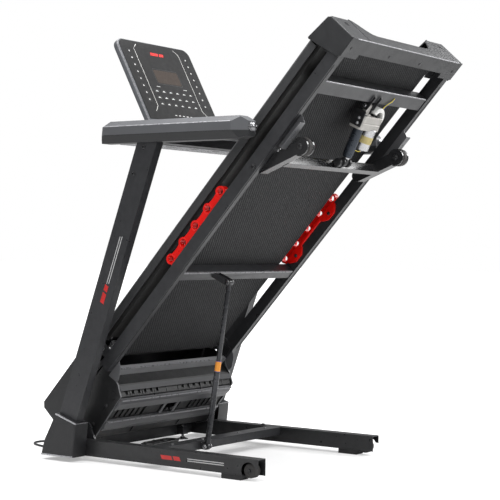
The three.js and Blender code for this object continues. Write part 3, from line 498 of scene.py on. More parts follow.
def soften(obj, width, segments):
    modifier = obj.modifiers.new("edges", "BEVEL")
    modifier.width = width * MM
    modifier.segments = segments
    modifier.limit_method = "ANGLE"
    modifier.angle_limit = BEVEL_ANGLE
    modifier.harden_normals = True
    modifier.use_clamp_overlap = True


def settle(obj, body, place, replaces=()):
    in_metres = place.copy()
    in_metres.translation = place.translation * MM
    obj.matrix_world = in_metres
    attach(obj, body)
    if replaces:
        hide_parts(*replaces)
    return obj


def wire(name, points, radius, body, material, place=BASE, steps=8):
    """A round cable along a smooth line, in local millimetres."""
    data = bpy.data.curves.new(name, "CURVE")
    data.dimensions = "3D"
    data.bevel_depth = radius * MM
    data.bevel_resolution = 3
    data.use_fill_caps = True
    line = smooth_path(points, steps)
    spline = data.splines.new("POLY")
    spline.points.add(len(line) - 1)
    for target, p in zip(spline.points, line):
        target.co = (*(p * MM), 1)
    data.materials.append(material)
    obj = bpy.data.objects.new(name, data)
    bpy.context.scene.collection.objects.link(obj)
    return settle(obj, body, place)


# ---- finishes of the CAD nodes that stay -------------------------------------------------
def dress(node, material, width, segments=3):
    obj = NODES[node]
    obj.data.materials.clear()
    obj.data.materials.append(material)
    flat = obj.modifiers.new("flats", "DECIMATE")
    flat.decimate_type = "DISSOLVE"
    flat.angle_limit = FLAT_ANGLE
    soften(obj, width, segments)


def dress_frame():
    for word, _ in SIDES:
        dress(f"base_tube_{word}", BLACK_PAINT, 1.8)
        dress(f"upright_{word}", PAINT, 4.5, 4)
        dress(f"pivot_lug_{word}", PAINT, 0.8)
        dress(f"foot_pad_{word}", RUBBER, 1.5)
        dress(f"deck_tube_{word}", PAINT, 1.8)
        dress(f"side_plate_{word}", BLACK_PAINT, 1.0)
        dress(f"handrail_{word}", RAIL_SHADED_BELOW, 3.0)
        dress(f"foot_rail_{word}", GRIP_PLASTIC, 1.2)
        dress(f"end_cap_{word}", SHELL_PLASTIC, 3.4, 4)
    for node in ("rear_cross_tube", "front_cross_tube", "cross_member_front", "cross_member_rear"):
        dress(node, PAINT, 1.8)
    dress("front_cross_bar", BAR_PAINT, 1.6)
    dress("lip_bar", LIP_PAINT, 1.6)
    dress("motor_cradle", EDGE_PAINT, 1.6)
    dress("belly_pan", PAN_PLASTIC, 0.8, 2)
    dress("motor_hood", SHELL_PLASTIC, 1.2)
    dress("rear_cover", SHELL_PLASTIC, 1.2)
    dress("console_bridge", SHELL_PLASTIC, 2.0)
    dress("deck_board", BOARD, 1.5)
    dress("drive_motor", BLACK_PAINT, 1.5)
    dress("lift_frame", GLOSS_PAINT, 1.2)


dress_frame()


# ---- power cord --------------------------------------------------------------------------
# From the gland down to the floor, round a loose bend and back under the frame to the hank.
CORD_POINTS = [
    (-216, 491.5, 41), (-216, 508, 41), (-216, 524, 41), (-218, 548, 35), (-220, 572, 18), (-222, 598, 5),
    (-220, 625, 3.8), (-214, 655, 3.8), (-204, 688, 3.8), (-188, 718, 3.8), (-164, 738, 3.8),
    (-136, 742, 3.8), (-112, 728, 3.8), (-98, 700, 3.8), (-92, 665, 3.8), (-88, 625, 3.8), (-83, 580, 3.8),
    (-76, 535, 3.8), (-66, 500, 3.8), (-54, 470, 3.8), (-38, 446, 3.8), (-19, 431, 4), (2, 426, 4.2),
]
HANK_X, HANK_Y, HANK_HALF, HANK_OUT, HANK_IN = 75.0, 398.0, 52.5, 28.0, 21.0
HANK_LOW, HANK_RISE = 4.1, 6.8
PLUG_X, PLUG_Y, PLUG_Z = -10.0, 367.0, 11.0


def hank_place(turn, t):
    """The radius and height of the cord, t of the way through a turn of the hank."""
    if turn == 0:
        return HANK_OUT - CORD_R * 2 * t * t, HANK_LOW
    if turn == 1:
        return HANK_IN, HANK_LOW + HANK_RISE * math.sin(math.pi / 2 * t)
    u = min(1.0, t / 0.35)
    return HANK_IN + CORD_R * 2 * u * u * (3 - 2 * u), HANK_LOW + HANK_RISE


def hank_points():
    """Three turns round the hank: inward on the floor, then up, then outward, stopping at the plug's side."""
    out = []
    steps = 32
    for turn, share in enumerate((1.0, 1.0, 0.77)):
        for k in range(int(steps * share)):
            t = k / steps
            r, z = hank_place(turn, t)
            stage, within = divmod(t * 4, 1.0)
            way = 1 if stage in (0, 1) else -1
            if stage in (0, 2):
                out.append((HANK_X + way * (2 * within - 1) * HANK_HALF, HANK_Y + way * r, z))
            else:
                a = math.pi * within
                out.append((HANK_X + way * (HANK_HALF + r * math.sin(a)), HANK_Y + way * r * math.cos(a), z))
    return out


def make_cord_relief():
    gland = Shape()
    profile = [(0, 3.8), (0, 9), (3, 9), (4, 8.6)]
    for k in range(7):
        low = 5.0 + 3.4 * k
        radius = 7.2 - 0.28 * k
        profile += [(low, radius), (low + 1.9, radius), (low + 2.2, radius - 0.9), (low + 3.1, radius - 0.9)]
    profile += [(29.4, 5.2), (30, 4.6), (30, 3.8)]
    gland.lathe(profile, "y", (GLAND_X, INLET_Y + 12.3, INLET_Z), 36)
    return gland.piece("cord_relief", "base", "black_rubber", RUBBER, replaces=("cord_gland",))


def make_plug():
    """The moulded plug with its ribbed neck, and its three pins."""
    x, y = PLUG_X, PLUG_Y
    plug = Shape()
    middle = 11.3
    sections = ((0, 7, 6, 4), (1.5, 8.5, 7.6, 5), (10, 10.5, 9, 6), (18, 11.6, 10, 6), (30, 12.2, 10.5, 6),
                (32, 13, 10.7, 6), (39, 13, 10.7, 6), (40, 12.2, 10, 6))
    plug.loft([[(x - d, v, w) for v, w in rounded(y - wide, y + wide, middle - high, middle + high, corner)]
               for d, wide, high, corner in sections])
    for k in range(4):
        plug.ring("x", 8.4 + 0.4 * k, 3.0, x - 7 - 5 * k, x - 5 - 5 * k, (0, y, PLUG_Z), 28, 0.5)
    plug.lathe([(x + 12, 3.55), (x + 12, 4.3), (x + 8, 4.6), (x + 7, 4.0), (x + 5, 4.0), (x + 4, 4.8),
                (x, 4.8), (x - 1, 3.55)], "x", (0, y, PLUG_Z), 28)
    body = plug.piece("plug_body", "base", "black_rubber", RUBBER, bevel=0.4)
    pins = Shape()
    for dy in (-6.35, 6.35):
        pins.layers((y + dy, 7.15), 0.3, "x",
                    ((x - 39, 0.75, 3.15), (x - 55, 0.75, 3.15), (x - 57, 0.45, 2.3)), 2)
    pins.rod("x", 2.4, x - 60, x - 39, (0, y, 17), 24, 1.6)
    prongs = pins.piece("plug_prongs", "base", "bright_steel", BRUSHED)
    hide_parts("power_plug")
    return body, prongs


def make_cord():
    path = CORD_POINTS[:-1] + hank_points()
    path += [(PLUG_X + 26, PLUG_Y + 1, PLUG_Z), (PLUG_X + 12, PLUG_Y, PLUG_Z)]
    steps = 4
    line = wire("power_cord_line", path, CORD_R, "base", CORD, steps=steps)
    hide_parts("power_cord", "cord_hank")
    relief = make_cord_relief()
    body, prongs = make_plug()
    tie = Shape()
    tie.window((HANK_Y - 31.3, HANK_Y + 31.3, 0.6, 14.7), (HANK_Y - 30.3, HANK_Y + 30.3, 1.2, 14.4), (4, 3.4),
               "x", HANK_X - 3, HANK_X + 3, 6)
    band = tie.piece("hank_tie", "base", "black_rubber", RUBBER)


make_cord()


# ---- base --------------------------------------------------------------------------------
BOOT = [(361, 14), (489, 14), (485, 34), (478, 60), (462, 90), (431, 146), (350, 120), (350.6, 105),
        (352, 90)]


def make_boots():
    """Each boot is a rounded shell, a cheek that fills its outer side and a raised panel on the cheek."""
    inner = BASE_OUT + 0.8
    walls = ((inner, 0), (393, 0), (398.5, 1.4), (401.2, 4.0), (401.9, 7.5), (399.5, 8.0), (397.5, 5.0),
             (inner, 3.4))
    for word, side in SIDES:
        shell = Shape()
        shell.loft([[(side * x, y, z) for y, z in shrunk(BOOT, inset)] for x, inset in walls], closed=True)
        shell.prism(shrunk(BOOT, 6.0), "x", *span(side, 397.5, 401.6))
        shell.prism(shrunk(BOOT, 22.0), "x", *span(side, 401.0, 401.95))
        shell.piece(f"boot_shell_{word}", "base", "dark_plastic", DARK_PLASTIC, bevel=1.0,
                    replaces=(f"boot_{word}",))
        # Pale strips along the boot's sloping top edge and along its foot; the top strip is a painted
        # highlight on the rounded rim.
        rim_highlights = Shape()
        rim_highlights.prism([(350.2, 116.5), (430.4, 141.5), (431.0, 145.6), (349.9, 119.6)], "x",
                  *span(side, BASE_OUT + 1.0, 401.7))
        rim_highlights.prism([(361.6, 14.3), (488.2, 14.3), (487.0, 19.5), (360.4, 19.5)], "x",
                  *span(side, 398.0, 401.9))
        rim_highlights.piece(f"boot_rim_highlight_{word}", "base", "shell_plastic", TRIM, bevel=1.2, segments=3)


def make_transport_wheels():
    """Tyres with a shallow groove, and hubs with five pegs."""
    centre = (0, TRANSPORT_Y, TRANSPORT_Z)
    for word, side in SIDES:
        low, high = span(side, 307, 334)
        mid = (low + high) / 2
        roll = Shape()
        roll.lathe([(low, 8), (low, 17), (low + 1.2, 19.8), (low + 4, 21.4), (mid - 1, 21.4),
                    (mid - 0.6, 20.8), (mid + 0.6, 20.8), (mid + 1, 21.4), (high - 4, 21.4),
                    (high - 1.2, 19.8), (high, 17), (high, 8)], "x", centre, 48)
        roll.piece(f"transport_tyre_{word}", f"transport_wheel_{word}", "black_rubber", GREY_RUBBER,
                   replaces=(f"transport_wheel_{word}",))
        hub = Shape()
        hub.ring("x", 9, 5.6, low, high, centre, 32, 0.6)
        for y, z in circle(TRANSPORT_Y, TRANSPORT_Z, 12.5, 5):
            hub.rod("x", 1.6, low + 0.2, high - 0.2, (0, y, z), 12, 0.3)
        hub.piece(f"transport_hub_{word}", f"transport_wheel_{word}", "grey_plastic", SHELL_PLASTIC)


def make_feet():
    """The levelling feet: a turned disc, a threaded stem and a nut on it."""
    disc = [(0, AXIS), (0, 17.5), (0.8, 18.9), (2.6, 18.9), (3.2, 17.8), (5.5, 10), (7.5, 8.2), (8, 7),
            (8, AXIS)]
    core, crest, pitch, threads = 4.1, 4.95, 1.45, 29
    thread = [(6, AXIS), (6, core)]
    for k in range(threads):
        z = 7.0 + pitch * k
        thread += [(z, core), (z + 0.6, crest)]
    thread += [(49.4, core), (50, 3.4), (50, AXIS)]
    for word, side in SIDES:
        x, y = side * 236, 427
        foot = Shape()
        foot.lathe(disc, "z", (x, y, 0), 48)
        foot.piece(f"foot_disc_{word}", f"levelling_foot_{word}", "bright_steel", STEEL,
                   replaces=(f"levelling_foot_{word}",))
        stem = Shape()
        stem.lathe(thread, "z", (x, y, 0), 28)
        stem.prism(circle(x, y, 8.4, 6), "z", 8.4, 9.6)
        stem.piece(f"foot_stem_{word}", f"levelling_foot_{word}", "bright_steel", STEEL, bevel=0.3)


def leaning(shape, low, high, inset, width, slant, levels):
    """A mark along an upright's outer face, inset from its rear edge."""
    y0, y1 = (POST_FOOT_Y - POST_LEAN * z + inset for z in (low, high))
    shape.prism([(y0, low), (y0 + width, low + slant), (y1 + width, high + slant), (y1, high)], "x", *levels)


def make_marks():
    """Plain red blocks and pale lines, just proud of the uprights and the base tubes."""
    for word, side in SIDES:
        marks = Shape()
        stripe = Shape()
        post_face = span(side, POST_OUT - 0.1, POST_OUT + 0.25)
        tube_face = span(side, BASE_OUT - 0.1, BASE_OUT + 0.3)
        for low, high in ((486, 516), (522, 540)):
            leaning(marks, low, high, 26, 13, 8, post_face)
        for inset in (27, 35):
            leaning(stripe, 548, 690, inset, 2.2, 2, post_face)
        for low, high in ((-12, 12), (18, 58)):
            marks.prism([(low, 34), (low + 6, 46), (high + 6, 46), (high, 34)], "x", *tube_face)
        for z in (36, 42):
            stripe.prism([(-170, z), (-168, z + 2.6), (-36, z + 2.6), (-38, z)], "x", *tube_face)
        marks.piece(f"frame_mark_{word}", "base", "red_plastic", RED)
        stripe.piece(f"frame_stripe_{word}", "base", "grey_plastic", PALE_MARK)


def make_base_details():
    """Screws, marks, the strut's lower bolts and the short cables of the base."""
    screws = Shape()
    for _, side in SIDES:
        for y, z in ((143, 878), (105, 956)):
            screws.screw("x", 5.0, side * POST_OUT, side, (0, y, z), 3.4)
        screws.screw("z", 5.0, 64.0, 1, (side * 321, 150, 0), 3.0)
    screws.piece("frame_screws", "base", "bright_steel", OXIDE)
    make_marks()

    bolts = Shape()
    bolts.screw_pair(5.2, STRUT_X, 14.6, *STRUT_LOW, 3.0)
    for x in (-248, -96, 96, 248):
        bolts.rod("z", 4.6, 63.6, 66.6, (x, 93, 0), 6, 0.6)
    bolts.piece("strut_foot_bolt", "base", "bright_steel", STEEL)

    for index, (color, dy) in enumerate(((RED, 0), (WHITE_PLASTIC, 4.2), (YELLOW_WIRE, 8.4))):
        path = [(-300, 404 - dy, 22 + dy * 0.4), (-270, 398 - dy, 21), (-236, 394 - dy, 20.5),
                (-206, 400 - dy, 22), (-186, 416 - dy, 28), (-176, 434, 34)]
        wire(f"loom_{index}", path, 1.5, "base", color)
    wire("console_loom", [(-345, 128, 967), (-352, 128, 955), (-356, 121, 940)], 3.4, "base",
         RUBBER)


def make_inlet():
    """The inlet's plate and bezel, and the rocker switch that rides on its own body."""
    x, y, z = INLET_X, INLET_Y, INLET_Z
    plate = Shape()
    plate.layers((x, z), 4, "y", ((y, 32, 20), (y + 1.5, 32, 20), (y + 10.4, 31, 17.6), (y + 12, 29.6, 16.2)))
    plate.piece("inlet_plate", "base", "black_rubber", DARK_PLASTIC, bevel=0.5, replaces=("power_inlet",))
    bezel = Shape()
    bezel.window((x + 2.6, x + 25.4, z - 16, z + 16), (x + 4.9, x + 23.1, z - 13.6, z + 13.6), (3, 2),
                 "y", y + 11.6, y + 13.6)
    for dx in (-26, 28):
        bezel.rod("y", 2.6, y + 11.5, y + 13.4, (x + dx, 0, z), 20, 0.7)
    bezel.piece("inlet_bezel", "base", "dark_plastic", RUBBER, bevel=0.3)

    half, back, crown, hollow, steps = 11.9, -3.5, 4.1, 2.8, 8
    rocker = Shape()
    rings = []
    for dx, ease in ((-8.4, 0.8), (-7.6, 0.0), (7.6, 0.0), (8.4, 0.8)):
        front = [(dx, crown - ease - hollow * (k / steps) ** 2, -half * k / steps)
                 for k in range(steps, -steps - 1, -1)]
        rings.append([(dx, back, -half)] + front + [(dx, back, half)])
    rocker.loft(rings)
    place = BASE @ placed(x + 14, y + 9, z, math.radians(-9))
    rocker.piece("switch_rocker", "power_switch", "red_plastic", RED, place, bevel=0.4,
                 replaces=("power_switch",))
    signs = Shape()
    signs.prism([(-0.5, 4.5), (0.5, 4.5), (0.5, 8.5), (-0.5, 8.5)], "y", 2.6, 3.4)
    signs.ring("y", 2.4, 1.6, 2.4, 3.3, (0, 0, -6.6), 24, 0.2)
    signs.piece("switch_signs", "power_switch", "grey_plastic", PALE_MARK, place)


make_boots()
make_transport_wheels()
make_feet()
make_base_details()
make_inlet()


# ---- handrails and console ---------------------------------------------------------------
RAIL_TOP, RAIL_X, RAIL_SEAM = 1036.0, 400.0, 993.4


def make_handrail_details():
    """Grip pads, seams, pale ridge strips that are painted highlights, and pulse sensors of the handrails."""
    grip_x, grip_y, grip_length, grip_half, steps = 364, -222, 440, 14.5, 32
    sensor_x, sensor_z = 361, 1003
    for word, side in SIDES:
        grip = Shape()
        rings = []
        for k in range(steps + 1):
            t = k / steps
            w = grip_half * min(1.0, 0.55 + 5 * t, 0.55 + 5 * (1 - t))
            rings.append([(side * grip_x + u, grip_y + grip_length * t, RAIL_TOP - 3.4 + v)
                          for u, v in rounded(-w, w, 0, 3.1, 1.4, 3)])
        grip.loft(rings)
        grip.piece(f"rail_grip_{word}", "base", "grey_plastic", SHELL_PLASTIC)
        seam = Shape()
        seam.prism([(-214, RAIL_SEAM), (-214, RAIL_SEAM + 1), (246, RAIL_SEAM + 1), (246, RAIL_SEAM)], "x",
                   *span(side, RAIL_X - 0.3, RAIL_X + 0.3))
        seam.piece(f"rail_seam_{word}", "base", "dark_plastic", BLACK_PAINT)
        # A pale strip on the edge where the rail's outer face meets its chamfer: a painted highlight.
        ridge_highlight = Shape()
        ridge_highlight.prism([(side * 400.2, 1018.4), (side * 400.4, 1019.6), (side * 399.0, 1021.2),
                     (side * 398.6, 1019.8)], "y", -220, 248)
        ridge_highlight.piece(f"rail_ridge_highlight_{word}", "base", "grey_plastic", TRIM)
        sensor = Shape()
        centre = (side * sensor_x, 0, sensor_z)
        sensor.lathe([(-284, AXIS), (-283.6, 5), (-282, 9), (-279, 11.6), (-275, 12.6), (-262, 12.6),
                      (-262, AXIS)], "y", centre, 40)
        sensor.ring("y", 14.6, 12.0, -273.5, -269.5, centre, 40, 0.7)
        sensor.piece(f"pulse_sensor_{word}", "base", "bright_steel", SENSOR)


def make_bridge_underside():
    """Pale plates under the console bridge, with a row of dark slots in each."""
    under = Shape()
    under.slab((-330, 330, 134, 246), 8, "z", 970.6, 972.4)
    under.slab((-330, 330, -48, 110), 8, "z", 1002.6, 1004.4)
    under.piece("bridge_underside", "base", "shell_plastic", TRIM, bevel=0.4)
    gaps = Shape()
    for x in range(-300, 301, 120):
        gaps.slab((x - 22, x + 22, 160, 168), 3, "z", 970.2, 971.0)
        gaps.slab((x - 22, x + 22, 10, 18), 3, "z", 1002.2, 1003.0)
    gaps.piece("bridge_underside_slots", "base", "dark_plastic", BLACK_PAINT)


CONSOLE_HALF, CONSOLE_TOP, CONSOLE_LOW = 186.0, 337.0, 14.0


def console_outline(inset, corner, base):
    """The console's front outline, drawn in by the inset, from a flat base to round upper corners."""
    half, top = CONSOLE_HALF - inset, CONSOLE_TOP - inset
    out = [(-half, base), (half, base)]
    for u, start in ((half - corner, 0), (corner - half, 90)):
        out += arc(u, top - corner, corner, start, start + 90, 8)
    return out


def make_console_shell():
    """The console's shell, the pale band round its edge and the panel."""
    low = CONSOLE_LOW
    shell = Shape()
    shell.loft([[(x, y, z) for x, z in console_outline(inset, 30 - inset * 0.5, low + inset * 0.3)]
                for y, inset in ((0.0, 3.0), (0.6, 1.2), (2.2, 0.2), (17.0, 0.0), (20.5, 1.2), (22.3, 3.4),
                                 (23.0, 7.0))])
    shell.piece("console_shell", "base", "grey_plastic", RAIL_PLASTIC, SLAB, replaces=("console_body",))
    band = Shape()
    outer = [[(x, y, z) for x, z in console_outline(inset, 30, low + 1)]
             for y, inset in ((1.5, 0.0), (2.2, 0.0), (5.6, 0.0), (6.4, 0.1))]
    inner = [[(x, y, z) for x, z in console_outline(2.0, 29, low + 2)] for y in (6.4, 1.5)]
    band.loft(outer + inner, closed=True)
    band.piece("console_band", "base", "grey_plastic", TRIM, SLAB)
    face = Shape()
    plate = console_outline(4.5, 26, 36)
    soft = console_outline(6.0, 25, 37)
    face.loft([[(x, -0.3, z) for x, z in plate], [(x, -1.6, z) for x, z in plate],
               [(x, -2.1, z) for x, z in soft]])
    face.piece("console_panel_face", "base", "console_panel", PANEL, SLAB, replaces=("console_face",))


def make_console_prints():
    """Key caps, plain signs and lines on the panel; y levels stand out towards the user."""
    print_top, print_low, print_root, dot_top, dot_low = -2.28, -1.8, -1.7, -2.3, -2.0
    side_keys, side_pitch, rows, columns, key_pitch, row_pitch = 8, 26, 3, 6, 35, 24
    lines = Shape()
    dots = Shape()
    keys = Shape()
    for _, side in SIDES:
        x = side * 116
        path = [(x - side * 20, 322), (x, 304), (x, 88), (x + side * 20, 66)]
        for a, b in zip(path, path[1:]):
            lines.prism(ribbon(a, b, 0.6), "y", print_top, print_root)
        for k in range(side_keys):
            z = 290 - side_pitch * k
            keys.layers((side * 146, z), 4, "y", ((-1.6, 12, 8.5), (-2.1, 12, 8.5), (-2.28, 11, 7.5)))
            dots.rod("y", 3.0, dot_top, dot_low, (side * 146, 0, z), 20, 0.1)
    for row in range(rows):
        for column in range(columns):
            x, z = key_pitch * (column - (columns - 1) / 2), 146 - row_pitch * row
            keys.layers((x, z), 3, "y", ((-1.6, 13, 8), (-2.1, 13, 8), (-2.27, 12, 7)))
            dots.prism([(x - 8, z - 2.4), (x + 8, z - 2.4), (x, z + 2.6)], "y", dot_top, dot_low)
    dashes = [(x, 5, 57, 59.5) for x in range(-40, 41, 20)] + [(x, 9, 163, 165) for x in (-70, 70)]
    for x, w, z0, z1 in dashes:
        dots.prism([(x - w, z0), (x + w, z0), (x + w, z1), (x - w, z1)], "y", print_top, print_low)
    lines.piece("console_lines", "base", "console_panel", WHITE_PLASTIC, SLAB)
    keys.piece("console_keys", "base", "console_panel", PANEL, SLAB)
    dots.piece("console_signs", "base", "console_panel", PALE_MARK, SLAB)

    Shape().layers((0, 204), 4, "y", ((-1.6, 62, 25), (-2.1, 62, 25), (-2.25, 61, 24))).piece(
        "display_glass", "base", "console_panel", DISPLAY, SLAB)
    Shape().window((-66, 66, 175, 233), (-65, 65, 176, 232), (6, 5), "y", print_low, -2.27).piece(
        "display_frame", "base", "console_panel", SHELL_PLASTIC, SLAB)
    badge = Shape()
    for x0, x1 in ((-40, -2), (4, 26)):
        badge.prism([(x0, 286), (x1, 286), (x1 + 4, 297), (x0 + 4, 297)], "y", print_top, print_low)
    badge.piece("console_badge", "base", "red_plastic", RED, SLAB)


def make_safety_key():
    """The key's ribbed grip on its own body, and the surround of its slot."""
    key = Shape()
    key.layers((0, 24), 4, "y", ((-14, 11, 3.6), (-13, 12.6, 5.0), (-8, 11, 4.4), (-4.2, 12.4, 5.2),
                                 (-3, 12.0, 5.0)))
    key.slab((-9, 9, 20, 28), 1.5, "y", -3.5, 8)
    key.piece("safety_key_grip", "safety_key", "red_plastic", RED, SLAB, bevel=0.4, replaces=("safety_key",))
    Shape().window((-19, 19, 15.4, 34), (-14, 14, 17.8, 30.4), (4, 2), "y", 0.2, -1.8).piece(
        "key_surround", "base", "dark_plastic", BLACK_PAINT, SLAB, bevel=0.3)


def make_tray_details():
    """Brackets that carry the console, and the liners of the tray and of its two cup wells."""
    brackets = Shape()
    for _, side in SIDES:
        brackets.prism([(228, 1028), (262, 1024), (262, 1031), (246, 1040), (232, 1037)], "x",
                       *span(side, 120, 176))
    brackets.piece("console_feet", "base", "dark_plastic", DARK_PLASTIC, bevel=1.0)
    tray_floor = 1010.1
    liner = Shape()
    for _, side in SIDES:
        liner.ring("z", 40.5, 37.2, 1028.6, 1029.9, (side * 262, 30, 0), 48, 0.6)
        liner.rod("z", 36.5, tray_floor, 1011.2, (side * 262, 30, 0), 48, 0.4)
    liner.slab((-197, 197, -37, 97), 6, "z", tray_floor, 1011.0)
    liner.piece("tray_liner", "base", "dark_plastic", RUBBER, bevel=0.3)


make_handrail_details()
make_bridge_underside()
make_console_shell()
make_console_prints()
make_safety_key()
make_tray_details()


# ---- deck --------------------------------------------------------------------------------
def loop(front, rear, twist=0.0, steps=20):
    """A belt's line round two wheels, each (s, n, radius), as (-s, n) points; the twist is in degrees."""
    (s0, n0, r0), (s1, n1, r1) = front, rear
    return (arc(-s0, n0, r0, -90 + twist, 90 + twist, steps)
            + arc(-s1, n1, r1, 90 + twist, 270 + twist, steps))


def make_running_belt():
    belt = Shape()
    half = 253.9
    edge = ((0.7, 24.8), (0, 25.4), (0, 26.4), (0.7, 26.95))
    sections = [(ease - half, r) for ease, r in edge] + [(half - ease, r) for ease, r in edge[::-1]]
    rings = []
    for x, radius in sections:
        line = loop((ROLLER_FRONT, ROLLER_N, radius), (ROLLER_REAR, ROLLER_N, radius))
        rings.append([(x, y, z) for y, z in line])
    belt.loft(rings, closed=True)
    belt.piece("belt_band", "deck", "belt_cloth", BELT, DECK, replaces=("running_belt",))


def make_drive_belt():
    """The ribbed belt from the motor's pulley to the front roller's."""
    small, big, twist = 15.7, 34.0, math.degrees(0.16)
    low, high, pitch = 266.2, 277.8, 2.2
    back, crest, groove = 1.5, 3.9, 3.3
    sections = [(low, back), (low, crest)]
    for k in range(5):
        x = low + 1.0 + pitch * k
        sections += [(x, crest), (x + 0.6, groove), (x + 1.2, crest)]
    sections += [(high, crest), (high, back)]
    rings = []
    for x, extra in sections:
        line = loop((PULLEY_S, PULLEY_N, small + extra), (ROLLER_FRONT, ROLLER_N, big + extra), twist, 24)
        rings.append([(x, y, z) for y, z in line])
    Shape().loft(rings, closed=True).piece(
        "ribbed_belt", "deck", "black_rubber", RUBBER, DECK, replaces=("drive_belt",))


def make_rollers():
    """Turned barrels with their axles, the front roller's pulley and the motor's pulley and flywheel."""
    for name, s in (("front_roller", ROLLER_FRONT), ("rear_roller", ROLLER_REAR)):
        barrel = Shape()
        centre = (0, -s, ROLLER_N)
        barrel.lathe([(-256, 6), (-256, 21.5), (-255, 23.4), (-250, 23.9), (250, 23.9), (255, 23.4),
                      (256, 21.5), (256, 6)], "x", centre, 56)
        barrel.rod("x", 6, -308, 308, centre, 28, 1.2)
        barrel.piece(f"{name}_barrel", name, "bright_steel", BRUSHED, DECK, replaces=(name,))
    wheel = Shape()
    profile = [(264, 6.2), (264, 33), (265, 33.9)]
    for k in range(5):
        x = 266.6 + 2.2 * k
        profile += [(x, 33.9), (x + 0.6, 33.0), (x + 1.6, 33.0), (x + 2.1, 33.9)]
    profile += [(279.2, 33.9), (280, 33), (280, 6.2)]
    wheel.lathe(profile, "x", (0, -ROLLER_FRONT, ROLLER_N), 56)
    wheel.piece("front_roller_pulley", "front_roller", "bright_steel", STEEL, DECK)
    pulley = Shape()
    centre = (0, -PULLEY_S, PULLEY_N)
    profile = [(264, 6), (264, 15.2)]
    for k in range(6):
        x = 264.8 + 2.4 * k
        profile += [(x, 15.6), (x + 0.6, 14.6), (x + 1.6, 14.6), (x + 2.1, 15.6)]
    profile += [(280, 15.0), (280, 6)]
    pulley.lathe(profile, "x", centre, 40)
    pulley.lathe([(252, 6), (252, 33), (253, 33.9), (261, 33.9), (262, 33), (262, 6)], "x", centre, 56)
    pulley.rod("x", 6, 250.3, 280, centre, 24, 0.8)
    pulley.piece("motor_pulley_wheel", "motor_pulley", "bright_steel", STEEL, DECK,
                 replaces=("motor_pulley",))


def make_cushions():
    """Elastomer strips: a row of round cells on a base, webs between them and two bolted lobes below."""
    first, pitch, count = 615.0, 66.8, 5
    low_n, cell_n, radius, hole, saddle = 90.8, 107.7, 16.6, 10.6, 115.5
    floor_n, lobe_half = cell_n - hole - 2.6, 40
    last = first + pitch * (count - 1)
    lobes = (first + pitch * 0.6, last - pitch * 0.6)
    half_lobe = ((lobe_half, low_n + 5.2), (39, 86), (35, 79), (19, 67), (13, 65.2))

    for word, side in SIDES:
        strip = Shape()
        x0, x1 = span(side, 292.2, 317.8)
        outer = ((x0, 2.4), (x0 + 0.6, 1.0), (x0 + 2.2, 0), (x1 - 2.2, 0), (x1 - 0.6, 1.0), (x1, 2.4))
        inner = ((x1, 1.8), (x1 - 0.6, 0.8), (x1 - 1.8, 0), (x0 + 1.8, 0), (x0 + 0.6, 0.8), (x0, 1.8))
        sections = [(x, radius - ease) for x, ease in outer] + [(x, hole + ease) for x, ease in inner]
        for i in range(count):
            s = first + pitch * i
            strip.loft([[(x, y, z) for y, z in circle(-s, cell_n, r, 44)] for x, r in sections], closed=True)
            low = first - 12 if i == 0 else s - pitch / 2 - 0.2
            high = last + 12 if i == count - 1 else s + pitch / 2 + 0.2
            strip.deck([(high, low_n), (low, low_n), (low, floor_n), (high, floor_n)], x0 + 1.0, x1 - 1.0)
        for i in range(count - 1):
            s = first + pitch * i
            a, b = s + hole + 2.8, s + pitch - hole - 2.8
            dip = [(a + (b - a) * k / 12, saddle - 2.2 * math.sin(math.pi * k / 12)) for k in range(13)]
            strip.deck([(b, low_n + 2), (a, low_n + 2)] + dip, x0 + 1.0, x1 - 1.0)
        for s in lobes:
            outline = [(s + ds, n) for ds, n in half_lobe] + [(s - ds, n) for ds, n in half_lobe[::-1]]
            strip.deck(outline, *span(side, 288.1, 294.6))
        strip.slab((*span(side, 288.3, 294.6), 85.5, 98.0), 3, "y", 30 - last, -30 - first)
        strip.piece(f"cushion_cells_{word}", "deck", "red_elastomer", ELASTOMER, DECK, bevel=1.2, segments=3,
                    replaces=(f"cushion_{word}",))
        bolts = Shape()
        for s in lobes:
            bolts.screw("x", 4.0, side * 288.3, -side, (0, -s, 79), 2.6)
        bolts.piece(f"cushion_bolts_{word}", "deck", "bright_steel", OXIDE, DECK)


